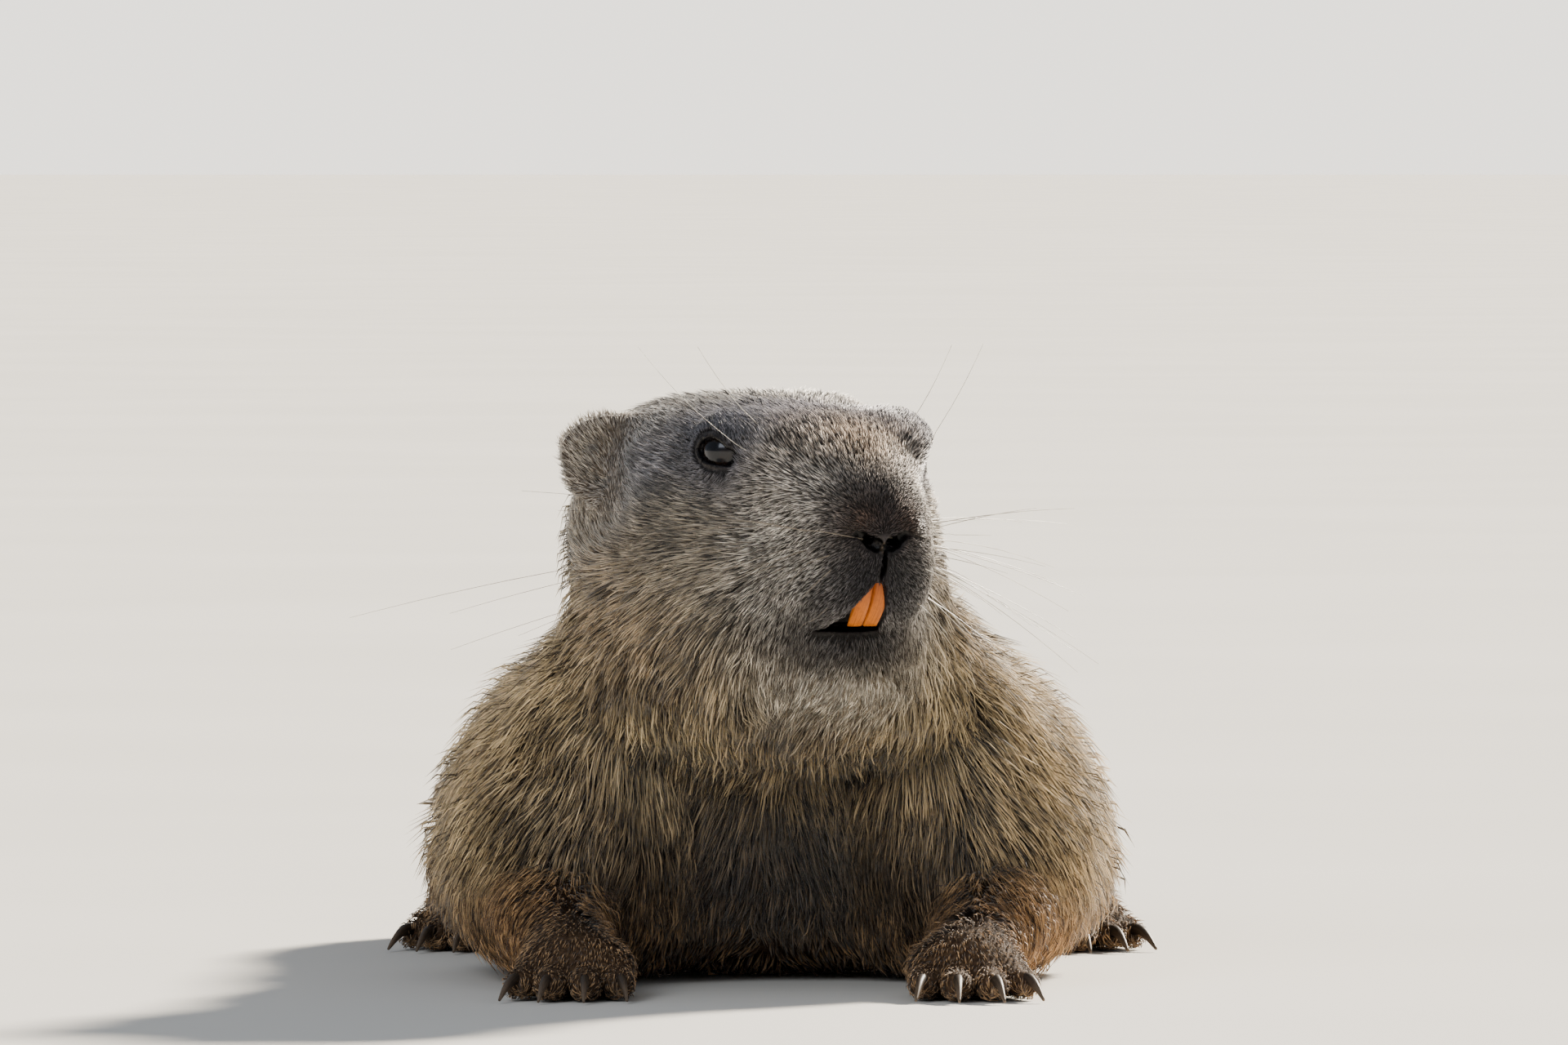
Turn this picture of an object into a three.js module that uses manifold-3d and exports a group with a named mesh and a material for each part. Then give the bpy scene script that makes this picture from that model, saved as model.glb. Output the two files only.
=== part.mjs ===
// Alpine marmot at life size: it lies on its belly, chest propped on bent forelegs,
// with its head raised and turned to its left. The surface is that of the coat's tips.
// Millimetres, +Z up. The animal faces -Y and its left side is towards +X.

import * as THREE from "three";
import { mergeVertices } from "three/addons/utils/BufferGeometryUtils.js";
import Module from "manifold-3d";

const wasm = await Module();
wasm.setup();

// Driving dimensions of the animal
const HEAD_LENGTH = 79.5; // from the line between the ears to the nose tip
const EYE_RADIUS = 8;
const TAIL_LENGTH = 172;
const SHOULDER_HALF_WIDTH = 90;
const BACK_HEIGHT = 120;
const CLAW_RADIUS = 1.5;

// Pose: where the middle of the ear line is, and how far the head turns to its left
const HEAD_AT = [-4, -178, 133];
const HEAD_TURN = THREE.MathUtils.degToRad(25);

// Making: the clear gap between two pieces, and the floor that everything rests on
const GAP = 0.3;
const FAR = 900; // a box this large stands for half of space
const SIDES = { left: 1, right: -1 };

// Sizes of the faces, in mm, finest where the animal has its smallest forms
const CELL = { head: 9.3, neck: 17, trunk: 28, leg: 18, foot: 8, tail: 18, claim: 22 };

const colour = (hex, roughness) =>
  new THREE.MeshStandardMaterial({ color: hex, roughness, metalness: 0 });
const FINISH = {
  face: colour(0x6a6259, 0.9),
  ear: colour(0x7a6c5c, 0.9),
  neck: colour(0x8a7860, 0.9),
  back: colour(0x75685a, 0.9),
  limb: colour(0x8c7355, 0.9),
  tail: colour(0x54473a, 0.9),
  eye: colour(0x0d0c0e, 0.08),
  tooth: colour(0xc9762c, 0.35),
  claw: colour(0x2a2420, 0.45),
};

// A field gives the distance in mm from a point to a mass of the body, negative inside it.

const ellipsoid = ([cx, cy, cz], [rx, ry, rz]) => ([x, y, z]) => {
  const [px, py, pz] = [(x - cx) / rx, (y - cy) / ry, (z - cz) / rz];
  const reach = Math.hypot(px, py, pz);
  const slope = Math.hypot(px / rx, py / ry, pz / rz);
  return slope > 0 ? (reach * (reach - 1)) / slope : -Math.min(rx, ry, rz);
};

// A straight limb that tapers from radius ra at a to radius rb at b.
const limb = (a, b, ra, rb) => {
  const run = b.map((value, axis) => value - a[axis]);
  const length2 = run.reduce((sum, value) => sum + value * value, 0);
  return (p) => {
    const off = p.map((value, axis) => value - a[axis]);
    const share = off.reduce((sum, value, axis) => sum + value * run[axis], 0) / length2;
    const t = Math.min(1, Math.max(0, share));
    return Math.hypot(...off.map((value, axis) => value - t * run[axis])) - ra - t * (rb - ra);
  };
};

// Masses that run into each other over a blend of the given softness.
const melt = (softness, ...fields) => (p) =>
  fields.map((field) => field(p)).reduce((d, e) => {
    const h = Math.max(softness - Math.abs(d - e), 0) / softness;
    return Math.min(d, e) - (h * h * softness) / 4;
  });

const both = ([x, y, z], [rx, ry, rz], softness) =>
  melt(softness, ellipsoid([x, y, z], [rx, ry, rz]), ellipsoid([-x, y, z], [rx, ry, rz]));

// A field given in the frame of a matrix, read at a point of the outer frame.
const placed = (field, matrix) => {
  const inverse = matrix.clone().invert();
  const point = new THREE.Vector3();
  return (p) => field(point.set(...p).applyMatrix4(inverse).toArray());
};

const frameAt = (at, turn = [0, 0, 0]) =>
  new THREE.Matrix4().compose(
    new THREE.Vector3(...at),
    new THREE.Quaternion().setFromEuler(new THREE.Euler(...turn, "ZYX")),
    new THREE.Vector3(1, 1, 1),
  );

// Head, in its own frame: x to the animal's right, y forward to the nose, z up,
// with the origin in the middle of the ear line. The frame is then turned to face -Y.

const HEAD_FRAME = frameAt(HEAD_AT, [0, 0, Math.PI + HEAD_TURN]);
const NOSE_Y = HEAD_LENGTH - 6;

// Ear: a round upright plate with a hollow in the face that it turns outwards and forwards
const EAR = {
  at: [42, -6, 5],
  half: [11.8, 4.3, 11.8],
  hollow: { ahead: 4.2, half: [9, 5, 9.2] },
  outward: 0.62,
  lean: 0.14,
};

// Eye: a ball that shows between the lids, in an oval opening round its axis
const EYE_AT = [23.4, 35, 7.8];
const EYE_OPENING = { outward: 1.12, ahead: 8.5, half: [6.3, 5.5, 4.3] };

const skullField = melt(
  12,
  ellipsoid([0, 3, -4.5], [40, 38, 26]), // braincase
  ellipsoid([0, 32, -1], [26, 32, 18]), // forehead
  both([22, 36, 10.5], [9.6, 14, 7], 4), // brow over each eye
  both([23, -4, 4], [15, 24, 14], 6), // sides of the crown
  limb([0, 42, -3], [0, 60.5, -9.5], 18, 15), // bridge of the nose
  ellipsoid([0, 20, -36], [35, 34, 26]), // throat and jowl
  both([19, 16, -18], [20, 29, 25], 8), // cheeks
  ellipsoid([0, -20, -14], [42, 30, 30]), // nape
);
const muzzleField = melt(
  6,
  ellipsoid([0, 58.5, -15], [16.5, 16.5, 15.5]), // snout
  ellipsoid([0, NOSE_Y - 2, -12], [11.5, 5.5, 9]), // nose pad
  both([8.5, 60, -24], [11.5, 16, 12.8], 3), // whisker pads over the upper lip
  ellipsoid([0, 40, -43], [17, 20.5, 13]), // chin
);
const headField = melt(9, skullField, muzzleField);

// Trunk: a broad low base under a narrower arched back, so that its front view is a bell.

const NECK = { front: [-5, -158, 97], back: [0, -112, 70], head: 46, body: 55 };
const neckField = melt(
  14,
  limb(NECK.front, NECK.back, NECK.head, NECK.body),
  ellipsoid([3, -186, 84], [47, 34, 27]), // ruff under the throat
);

const TRUNK_MIDDLES = [-100, -15, 68]; // y of the chest, the belly and the rump
const BACK_MASSES = [
  { y: TRUNK_MIDDLES[0], half: [54, 76, 50], z: 56 },
  { y: TRUNK_MIDDLES[1], half: [61, 105, BACK_HEIGHT / 2], z: BACK_HEIGHT / 2 },
  { y: TRUNK_MIDDLES[2], half: [58, 88, 55], z: 55 },
];
const BASE_MASSES = [
  { y: -95, half: [66, 70, 34], z: 36 },
  { y: TRUNK_MIDDLES[1], half: [SHOULDER_HALF_WIDTH - 2, 108, 42], z: 38 },
  { y: TRUNK_MIDDLES[2], half: [76, 84, 38], z: 36 },
];
const trunkField = melt(
  26,
  ...[...BACK_MASSES, ...BASE_MASSES].map(({ y, half, z }) => ellipsoid([0, y, z], half)),
);

// Feet: each digit fans out from the front of the sole, and ends in a claw.

const FOREFOOT = { at: [50, -222, 9], turn: 0.1, lengths: [13, 17, 17.5, 14], fan: 0.17, step: 6.4 };
const HINDFOOT = { at: [80, 16, 9], turn: 0.16, lengths: [12, 17, 18, 17, 12], fan: 0.15, step: 6.2 };
const DIGIT = { root: 5.4, tip: 4.4, z: 4.2, start: 8 };

const footFrame = (foot, side) =>
  frameAt([side * foot.at[0], foot.at[1], 0], [0, 0, Math.PI + side * foot.turn]);

// From the innermost digit to the outermost, in the frame of the foot
const digitsOf = (foot, side) =>
  foot.lengths.map((length, index) => {
    const place = side * ((foot.lengths.length - 1) / 2 - index);
    const angle = place * foot.fan;
    const root = [place * foot.step, DIGIT.start - Math.abs(place) * 1.6, DIGIT.z + 1.4];
    const heading = [Math.sin(angle), Math.cos(angle), 0];
    const tip = [root[0] + heading[0] * length, root[1] + heading[1] * length, DIGIT.z];
    return { root, tip, angle };
  });

const toesField = (foot, side) =>
  placed(
    melt(2.5, ...digitsOf(foot, side).map(({ root, tip }) => limb(root, tip, DIGIT.root, DIGIT.tip))),
    footFrame(foot, side),
  );

const forefootField = (side) =>
  melt(
    6,
    limb([side * 57, -186, 18], [side * FOREFOOT.at[0], -226, 8], 13.5, 9.5), // wrist and palm
    ellipsoid([side * FOREFOOT.at[0], -221, 8], [15.5, 15, 8.8]), // palm
    toesField(FOREFOOT, side),
  );

const forelegField = (side) =>
  melt(
    9,
    limb([side * 46, -132, 50], [side * 68, -106, 30], 38, 23), // upper arm
    ellipsoid([side * 50, -142, 40], [37, 48, 43]), // shoulder
    limb([side * 69, -104, 27], [side * 57, -186, 19], 21.5, 14.5), // forearm
    forefootField(side),
  );

const hindfootField = (side) =>
  melt(
    6,
    limb([side * 68, 78, 11], [side * HINDFOOT.at[0], 14, 8], 11, 10.5), // sole
    ellipsoid([side * HINDFOOT.at[0], 16, 7.5], [16.5, 16, 8.4]), // ball of the foot
    toesField(HINDFOOT, side),
  );

const hindlegField = (side) =>
  melt(
    9,
    ellipsoid([side * 56, 52, 36], [33, 60, 37]), // thigh
    limb([side * 70, 14, 34], [side * 66, 74, 18], 22, 15), // knee to heel
    hindfootField(side),
  );

// Tail: laid along the floor behind, thickest in its middle, bending to the left.

const TAIL_ROOT = [0, 124, 34];
const tailPoint = (share) => [
  30 * share * share,
  TAIL_ROOT[1] + TAIL_LENGTH * share,
  TAIL_ROOT[2] - 13 * Math.sin((Math.PI / 2) * Math.min(1, share * 2.2)),
];
const tailRadius = (share) => 17 + 8 * Math.sin(Math.PI * Math.min(1, share * 1.15)) - 9 * share ** 4;
const TAIL_STEPS = 7;
const tailShares = Array.from({ length: TAIL_STEPS + 1 }, (_, step) => (step / TAIL_STEPS) * 0.93);
const tailField = melt(
  5,
  ...tailShares.slice(1).map((share, index) => {
    const before = tailShares[index];
    return limb(tailPoint(before), tailPoint(share), tailRadius(before), tailRadius(share));
  }),
);

const coreField = melt(20, trunkField, neckField, placed(headField, HEAD_FRAME));
const bodyField = melt(
  16,
  coreField,
  ...Object.values(SIDES).flatMap((side) => [forelegField(side), hindlegField(side)]),
  tailField,
);

// Faces of a field's surface inside a box: one corner in each cell that the surface
// crosses, moved onto the surface, and one quad for each crossed edge of the grid.
const surfaceOf = (field, low, high, cell) => {
  const count = low.map((value, axis) => Math.ceil((high[axis] - value) / cell) + 1);
  const spot = (i, j, k) => [low[0] + i * cell, low[1] + j * cell, low[2] + k * cell];
  const key = (i, j, k) => (k * count[1] + j) * count[0] + i;
  const values = new Float64Array(count[0] * count[1] * count[2]);
  const edge = (i, n) => i === 0 || i === n - 1;
  for (let k = 0; k < count[2]; k++)
    for (let j = 0; j < count[1]; j++)
      for (let i = 0; i < count[0]; i++) {
        const rim = edge(i, count[0]) || edge(j, count[1]) || edge(k, count[2]);
        const value = field(spot(i, j, k));
        values[key(i, j, k)] = rim ? Math.max(value, cell / 4) : value;
      }
  const positions = [];
  const corner = new Map();
  const OFFSETS = [0, 1].flatMap((c) => [0, 1].flatMap((b) => [0, 1].map((a) => [a, b, c])));
  for (let k = 0; k < count[2] - 1; k++)
    for (let j = 0; j < count[1] - 1; j++)
      for (let i = 0; i < count[0] - 1; i++) {
        const at = OFFSETS.map(([a, b, c]) => values[key(i + a, j + b, k + c)]);
        if (at.every((v) => v < 0) || at.every((v) => v >= 0)) continue;
        const sum = [0, 0, 0];
        let crossings = 0;
        for (let m = 0; m < 8; m++)
          for (let n = m + 1; n < 8; n++) {
            const step = OFFSETS[n].map((value, axis) => value - OFFSETS[m][axis]);
            if (step.reduce((total, value) => total + Math.abs(value), 0) !== 1) continue;
            if (at[m] < 0 === at[n] < 0) continue;
            const t = at[m] / (at[m] - at[n]);
            step.forEach((value, axis) => (sum[axis] += OFFSETS[m][axis] + t * value));
            crossings++;
          }
        const inner = [i, j, k].every((value, axis) => value > 0 && value < count[axis] - 2);
        const start = spot(...[i, j, k].map((value, axis) => value + sum[axis] / crossings));
        corner.set(key(i, j, k), positions.length / 3);
        positions.push(...(inner ? settled(field, start, cell / 2) : start));
      }
  const index = [];
  for (let k = 0; k < count[2] - 1; k++)
    for (let j = 0; j < count[1] - 1; j++)
      for (let i = 0; i < count[0] - 1; i++)
        for (let axis = 0; axis < 3; axis++) {
          const here = [i, j, k];
          if (here.some((value, n) => value === 0 && n !== axis)) continue;
          const next = here.map((value, n) => value + (n === axis ? 1 : 0));
          const [inside, outside] = [values[key(...here)] < 0, values[key(...next)] < 0];
          if (inside === outside) continue;
          const [u, v] = [(axis + 1) % 3, (axis + 2) % 3];
          const around = [[1, 1], [0, 1], [0, 0], [1, 0]].map(([a, b]) => {
            const cellAt = [...here];
            cellAt[u] -= a;
            cellAt[v] -= b;
            return corner.get(key(...cellAt));
          });
          const [a, b, c, d] = inside ? around : around.reverse();
          index.push(a, b, c, a, c, d);
        }
  return new THREE.BufferGeometry()
    .setAttribute("position", new THREE.Float32BufferAttribute(positions, 3))
    .setIndex(index);
};

// A point moved along the field's slope until it lies on the surface, by at most reach.
const settled = (field, start, reach) => {
  const STEP = 0.05;
  let p = start;
  for (let round = 0; round < 3; round++) {
    const d = field(p);
    const slope = [0, 1, 2].map((axis) => {
      const q = [...p];
      q[axis] += STEP;
      return (field(q) - d) / STEP;
    });
    const steep = slope.reduce((sum, value) => sum + value * value, 0);
    if (steep < 0.04) break;
    p = p.map((value, axis) => value - (d * slope[axis]) / steep);
  }
  return Math.hypot(...p.map((value, axis) => value - start[axis])) < reach ? p : start;
};

const solidOf = (geometry, matrix = new THREE.Matrix4()) => {
  const bare = geometry.clone().applyMatrix4(matrix);
  bare.deleteAttribute("normal");
  bare.deleteAttribute("uv");
  const merged = mergeVertices(bare, 1e-4);
  const vertProperties = merged.getAttribute("position").array;
  const triVerts = new Uint32Array(merged.index.array);
  return new wasm.Manifold(new wasm.Mesh({ numProp: 3, vertProperties, triVerts }));
};

// The same closed surface with every corner moved outwards.
const grown = (geometry, by) => {
  const bigger = geometry.clone();
  bigger.computeVertexNormals();
  const [position, normal] = [bigger.getAttribute("position"), bigger.getAttribute("normal")];
  position.array.forEach((value, n) => (position.array[n] = value + by * normal.array[n]));
  return bigger;
};

// The half of space on the side of a point that the normal faces.
const beyond = (point, normal, shift = 0) => {
  const facing = new THREE.Vector3(...normal).normalize();
  const turn = new THREE.Quaternion().setFromUnitVectors(new THREE.Vector3(0, 0, 1), facing);
  const middle = new THREE.Vector3(...point).addScaledVector(facing, FAR / 2 + shift);
  const box = new THREE.BoxGeometry(FAR, FAR, FAR);
  return solidOf(box, new THREE.Matrix4().compose(middle, turn, new THREE.Vector3(1, 1, 1)));
};
const UNDERGROUND = beyond([0, 0, 0], [0, 0, -1]);

const largestOf = (solid) =>
  solid.decompose().reduce((a, b) => (b.volume() > a.volume() ? b : a));

const meshOf = (name, solid, material) => {
  const { vertProperties, triVerts } = largestOf(solid).getMesh();
  const geometry = new THREE.BufferGeometry()
    .setAttribute("position", new THREE.BufferAttribute(vertProperties, 3))
    .setIndex(new THREE.BufferAttribute(triVerts, 1));
  geometry.computeVertexNormals();
  const mesh = new THREE.Mesh(geometry, material);
  mesh.name = name;
  return mesh;
};

// A closed horn-like tube along a curve, with an oval section that tapers to its end.
const horn = (curve, halfWidthAt, halfDepthAt, rings, sides) => {
  const frames = curve.computeFrenetFrames(rings, false);
  const [positions, index] = [[], []];
  const put = (point) => positions.push(...point.toArray()) / 3 - 1;
  for (let ring = 0; ring <= rings; ring++) {
    const share = ring / rings;
    for (let side = 0; side < sides; side++) {
      const angle = (2 * Math.PI * side) / sides;
      put(
        curve
          .getPointAt(share)
          .addScaledVector(frames.binormals[ring], halfWidthAt(share) * Math.cos(angle))
          .addScaledVector(frames.normals[ring], halfDepthAt(share) * Math.sin(angle)),
      );
    }
  }
  const [start, end] = [put(curve.getPointAt(0)), put(curve.getPointAt(1))];
  for (let side = 0; side < sides; side++) {
    const after = (side + 1) % sides;
    index.push(start, side, after, end, rings * sides + after, rings * sides + side);
    for (let ring = 0; ring < rings; ring++) {
      const [a, b] = [ring * sides + side, ring * sides + after];
      index.push(a, a + sides, b, b, a + sides, b + sides);
    }
  }
  const geometry = new THREE.BufferGeometry()
    .setAttribute("position", new THREE.Float32BufferAttribute(positions, 3))
    .setIndex(index);
  return solidOf(geometry).volume() < 0 ? turnedOut(geometry) : geometry;
};

const turnedOut = (geometry) => {
  const { array } = geometry.index;
  for (let n = 0; n < array.length; n += 3) [array[n + 1], array[n + 2]] = [array[n + 2], array[n + 1]];
  return geometry;
};

const curveThrough = (...points) =>
  new THREE.CatmullRomCurve3(points.map((point) => new THREE.Vector3(...point)));

// Where the head ends: behind the ears and jowls, and under the chin
const NAPE_CUT = { point: [0, -20, -20], normal: [0, -0.86, -0.5] };
const CHIN_CUT = { point: [0, 50, -60], normal: [0, 0.36, -0.93] };
const HEAD_BOX = { low: [-63, -63, -93], high: [63, 97, 39] };

const bodyInHeadFrame = (p) =>
  bodyField(new THREE.Vector3(...p).applyMatrix4(HEAD_FRAME).toArray());

const incisor = (side, grow = 0) =>
  horn(
    curveThrough([-side * 2.4, 70.8, -21], [-side * 2.4, 69.6, -28.5], [-side * 2.3, 64.2, -36.9]),
    (share) => 2.2 + grow - 0.25 * share,
    (share) => 1.9 + grow - 1.2 * share * share,
    4,
    8,
  );

const clawsOf = (foot, side) =>
  digitsOf(foot, side).map(({ tip, angle }) => {
    const ahead = (reach, z) => [tip[0] + Math.sin(angle) * reach, tip[1] + Math.cos(angle) * reach, z];
    return curveThrough(ahead(-1, 5.2), ahead(5, 5.4), ahead(10, 3.2), ahead(13.5, 0.9));
  });
const clawShape = (curve, grow = 0) =>
  horn(
    curve,
    (share) => (CLAW_RADIUS + grow) * (1 - 0.72 * share) + 0.05,
    (share) => (CLAW_RADIUS + 0.4 + grow) * (1 - 0.78 * share) + 0.05,
    3,
    5,
  );

const oval = (half, grow = 0) => {
  const [columns, rows] = [14, 8];
  return new THREE.SphereGeometry(1, columns, rows).scale(...half.map((value) => value + grow));
};

const earFrame = (side) =>
  frameAt([-side * EAR.at[0], EAR.at[1], EAR.at[2]], [EAR.lean, 0, side * EAR.outward]);

const eyeOpening = (side) => {
  const frame = frameAt([-side * EYE_AT[0], EYE_AT[1], EYE_AT[2]], [0, 0, side * EYE_OPENING.outward]);
  const ahead = frameAt([0, EYE_OPENING.ahead, 0]);
  return solidOf(oval(EYE_OPENING.half), frame.multiply(ahead));
};

const makeEar = (side) => {
  const hollow = solidOf(oval(EAR.hollow.half), frameAt([0, EAR.hollow.ahead, 0]));
  return solidOf(oval(EAR.half)).subtract(hollow).transform(earFrame(side).elements);
};

const makeHead = () => {
  const group = new THREE.Group();
  HEAD_FRAME.decompose(group.position, group.quaternion, group.scale);
  const flesh = solidOf(surfaceOf(bodyInHeadFrame, HEAD_BOX.low, HEAD_BOX.high, CELL.head))
    .subtract(beyond(NAPE_CUT.point, NAPE_CUT.normal, -GAP / 2))
    .subtract(beyond(CHIN_CUT.point, CHIN_CUT.normal, -GAP / 2));
  let rest = flesh.subtract(mouthSolid());
  for (const [name, side] of Object.entries(SIDES)) {
    rest = rest.subtract(solidOf(oval(EAR.half, GAP), earFrame(side)));
    group.add(meshOf(`ear_${name}`, makeEar(side), FINISH.ear));

    const eyeAt = new THREE.Vector3(-side * EYE_AT[0], EYE_AT[1], EYE_AT[2]);
    const eye = new THREE.Mesh(new THREE.SphereGeometry(EYE_RADIUS, 14, 8), FINISH.eye);
    eye.name = `eye_${name}`;
    eye.position.copy(eyeAt);
    group.add(eye);
    const socket = new THREE.SphereGeometry(EYE_RADIUS + GAP, 14, 8);
    rest = rest.subtract(solidOf(socket, frameAt(eyeAt.toArray()))).subtract(eyeOpening(side));

    group.add(meshOf(`incisor_${name}`, solidOf(incisor(side)), FINISH.tooth));
    rest = rest.subtract(solidOf(incisor(side, GAP)));
  }
  const jawCut = jawSolid(0);
  group.add(meshOf("lower_jaw", rest.intersect(jawCut), FINISH.face));
  group.add(meshOf("head", rest.subtract(jawSolid(GAP)), FINISH.face));
  return group;
};

// A flat outline given as (y, z) pairs, made as wide as asked, or with x and y swapped.
const slabOf = (outline, width, turn = 0) => {
  const shape = new THREE.Shape(outline.map(([u, v]) => new THREE.Vector2(u, v)));
  const slab = new THREE.ExtrudeGeometry(shape, { depth: width, bevelEnabled: false });
  const basis = new THREE.Matrix4().makeBasis(
    new THREE.Vector3(0, 1, 0),
    new THREE.Vector3(0, 0, 1),
    new THREE.Vector3(1, 0, 0),
  );
  const middle = frameAt([-width / 2, 0, 0]);
  return solidOf(slab, frameAt([0, 0, 0], [0, 0, turn]).multiply(middle).multiply(basis));
};

// The lips part under the nose in an upturned V, and show the upper incisors.
const LIPS = { top: -26.6, line: -36.9, under: -38.7, half: 9.5, back: 60 };
const mouthSolid = () => {
  const { top, line, under, half, back } = LIPS;
  const opening = [[-half, under], [half, under], [half, line], [0, top], [-half, line]];
  return slabOf(opening, 2 * HEAD_LENGTH, Math.PI / 2).subtract(beyond([0, back, 0], [0, -1, 0]));
};

// The lower jaw is what lies under the line of the mouth, back to the jaw's hinge.
const jawSolid = (lift) => {
  const [front, deep] = [HEAD_LENGTH + 20, -110];
  const profile = [
    [front, -37.8 + lift],
    [60, -37.8 + lift],
    [48, -35 + lift],
    [14 - lift, -24 + lift],
    [8 - lift, -44],
    [20 - lift, deep],
    [front, deep],
  ];
  return slabOf(profile, 2 * HEAD_LENGTH);
};

const inWorld = (cut, shift) => {
  const point = new THREE.Vector3(...cut.point).applyMatrix4(HEAD_FRAME);
  const normal = new THREE.Vector3(...cut.normal).transformDirection(HEAD_FRAME);
  return beyond(point.toArray(), normal.toArray(), shift);
};

const BEHIND_HEAD = inWorld(NAPE_CUT, GAP / 2).add(inWorld(CHIN_CUT, GAP / 2));

const WITHERS_CUT = { point: [0, -112, 104], normal: [0, 0.34, -0.94] };
const NECK_BOX = { low: [-96, -250, 20], high: [96, -60, 170] };

const makeNeck = () => {
  const neck = solidOf(surfaceOf(bodyField, NECK_BOX.low, NECK_BOX.high, CELL.neck))
    .intersect(BEHIND_HEAD)
    .subtract(beyond(WITHERS_CUT.point, WITHERS_CUT.normal, -GAP / 2));
  return legClaims.reduce((left, claim) => left.subtract(claim.grown), neck);
};

// What a limb takes of the body: all that lies within its own masses, and a little more
const CLAIM_MARGIN = 6;
const claimOf = (field, low, high, cell) => {
  const shape = surfaceOf((p) => field(p) - CLAIM_MARGIN, low, high, cell);
  return { solid: solidOf(shape), grown: solidOf(grown(shape, GAP)), low, high };
};

const LEG_BOXES = {
  fore: { low: [6, -266, -20], high: [112, -62, 106] },
  hind: { low: [10, -26, -20], high: [112, 126, 106] },
};
const sided = ({ low, high }, side) =>
  side > 0
    ? { low, high }
    : { low: [-high[0], low[1], low[2]], high: [-low[0], high[1], high[2]] };

const LEGS = {
  fore: {
    field: forelegField,
    pawField: forefootField,
    foot: FOREFOOT,
    limb: "foreleg",
    paw: "forefoot",
    cut: -203,
  },
  hind: {
    field: hindlegField,
    pawField: hindfootField,
    foot: HINDFOOT,
    limb: "hindleg",
    paw: "hindfoot",
    cut: 34,
  },
};
const legClaims = Object.entries(LEGS).flatMap(([kind, leg]) =>
  Object.entries(SIDES).map(([name, side]) => {
    const { low, high } = sided(LEG_BOXES[kind], side);
    return { ...claimOf(leg.field(side), low, high, CELL.claim), ...leg, name, side };
  }),
);
const tailClaim = claimOf(tailField, [-45, 84, -20], [75, 330, 75], CELL.claim);

const makeLeg = (claim) => {
  const group = new THREE.Group();
  const { field, pawField, foot, side, name } = claim;
  const inFrontOf = beyond([0, claim.cut, 0], [0, -1, 0]);
  const paws = claimOf((p) => pawField(side)(p) + CLAIM_MARGIN / 2, ...footBox(claim), CELL.foot);
  const limbSolid = solidOf(surfaceOf(bodyField, claim.low, claim.high, CELL.leg))
    .subtract(UNDERGROUND)
    .intersect(BEHIND_HEAD)
    .intersect(claim.solid)
    .subtract(paws.grown.intersect(beyond([0, claim.cut, 0], [0, -1, 0], -GAP)));
  group.add(meshOf(`${claim.limb}_${name}`, limbSolid, FINISH.limb));

  const frame = footFrame(foot, side);
  let paw = solidOf(surfaceOf(bodyField, ...footBox(claim), CELL.foot))
    .subtract(UNDERGROUND)
    .intersect(claim.solid)
    .intersect(paws.solid.intersect(inFrontOf));
  clawsOf(foot, side).forEach((curve, index) => {
    paw = paw.subtract(solidOf(clawShape(curve, GAP), frame));
    const clawName = `claw_${claim.paw.slice(0, 4)}_${name}_${index + 1}`;
    group.add(meshOf(clawName, solidOf(clawShape(curve), frame), FINISH.claw));
  });
  group.add(meshOf(`${claim.paw}_${name}`, paw, FINISH.limb));
  return group;
};

const footBox = ({ foot, side, cut }) => {
  const reach = 42;
  const [x, front] = [side * foot.at[0], foot.at[1] - 42];
  return [
    [x - reach, front, -14],
    [x + reach, cut + 20, 44],
  ];
};

const makeTail = () =>
  solidOf(surfaceOf(bodyField, tailClaim.low, tailClaim.high, CELL.tail))
    .intersect(tailClaim.solid)
    .subtract(UNDERGROUND);

const makeTrunk = () => {
  const flesh = solidOf(surfaceOf(bodyField, [-118, -268, -22], [118, 190, 138], CELL.trunk));
  const bare = flesh
    .subtract(UNDERGROUND)
    .intersect(BEHIND_HEAD)
    .intersect(beyond(WITHERS_CUT.point, WITHERS_CUT.normal, GAP / 2))
    .subtract(tailClaim.grown);
  const besideClaws = legClaims.reduce((left, { foot, side }) => {
    const room = clawsOf(foot, side).map((curve) => clawShape(curve, GAP));
    return room.reduce((rest, claw) => rest.subtract(solidOf(claw, footFrame(foot, side))), left);
  }, bare);
  return legClaims.reduce((left, claim) => left.subtract(claim.grown), besideClaws);
};

const marmot = new THREE.Group();
marmot.add(makeHead());
marmot.add(meshOf("neck", makeNeck(), FINISH.neck));
marmot.add(meshOf("trunk", makeTrunk(), FINISH.back));
marmot.add(meshOf("tail", makeTail(), FINISH.tail));
legClaims.forEach((claim) => marmot.add(makeLeg(claim)));

// The middle of the animal's length comes over the origin.
const extent = new THREE.Box3().setFromObject(marmot, true);
marmot.position.y = -(extent.min.y + extent.max.y) / 2;

export default marmot;
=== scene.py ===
"""Looks of a life-size alpine marmot that lies with its head raised and turned to its left.

One skin covers the whole body and lies inside the solids by the depth of the coat.
Tufts of hair grow from it, and the eyes, incisors, claws and whiskers are pieces of their own.
Sizes are in millimetres of the solids' own frame until a mesh is made. In the head's frame
x is to the animal's right, y forward to the nose and z up, from the middle of the ear line.
"""

import logging
import math
from dataclasses import dataclass
from enum import Enum
from typing import Callable, Iterable, Sequence

import bmesh
import bpy
import numpy as np
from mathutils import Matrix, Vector
from mathutils.kdtree import KDTree


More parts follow.
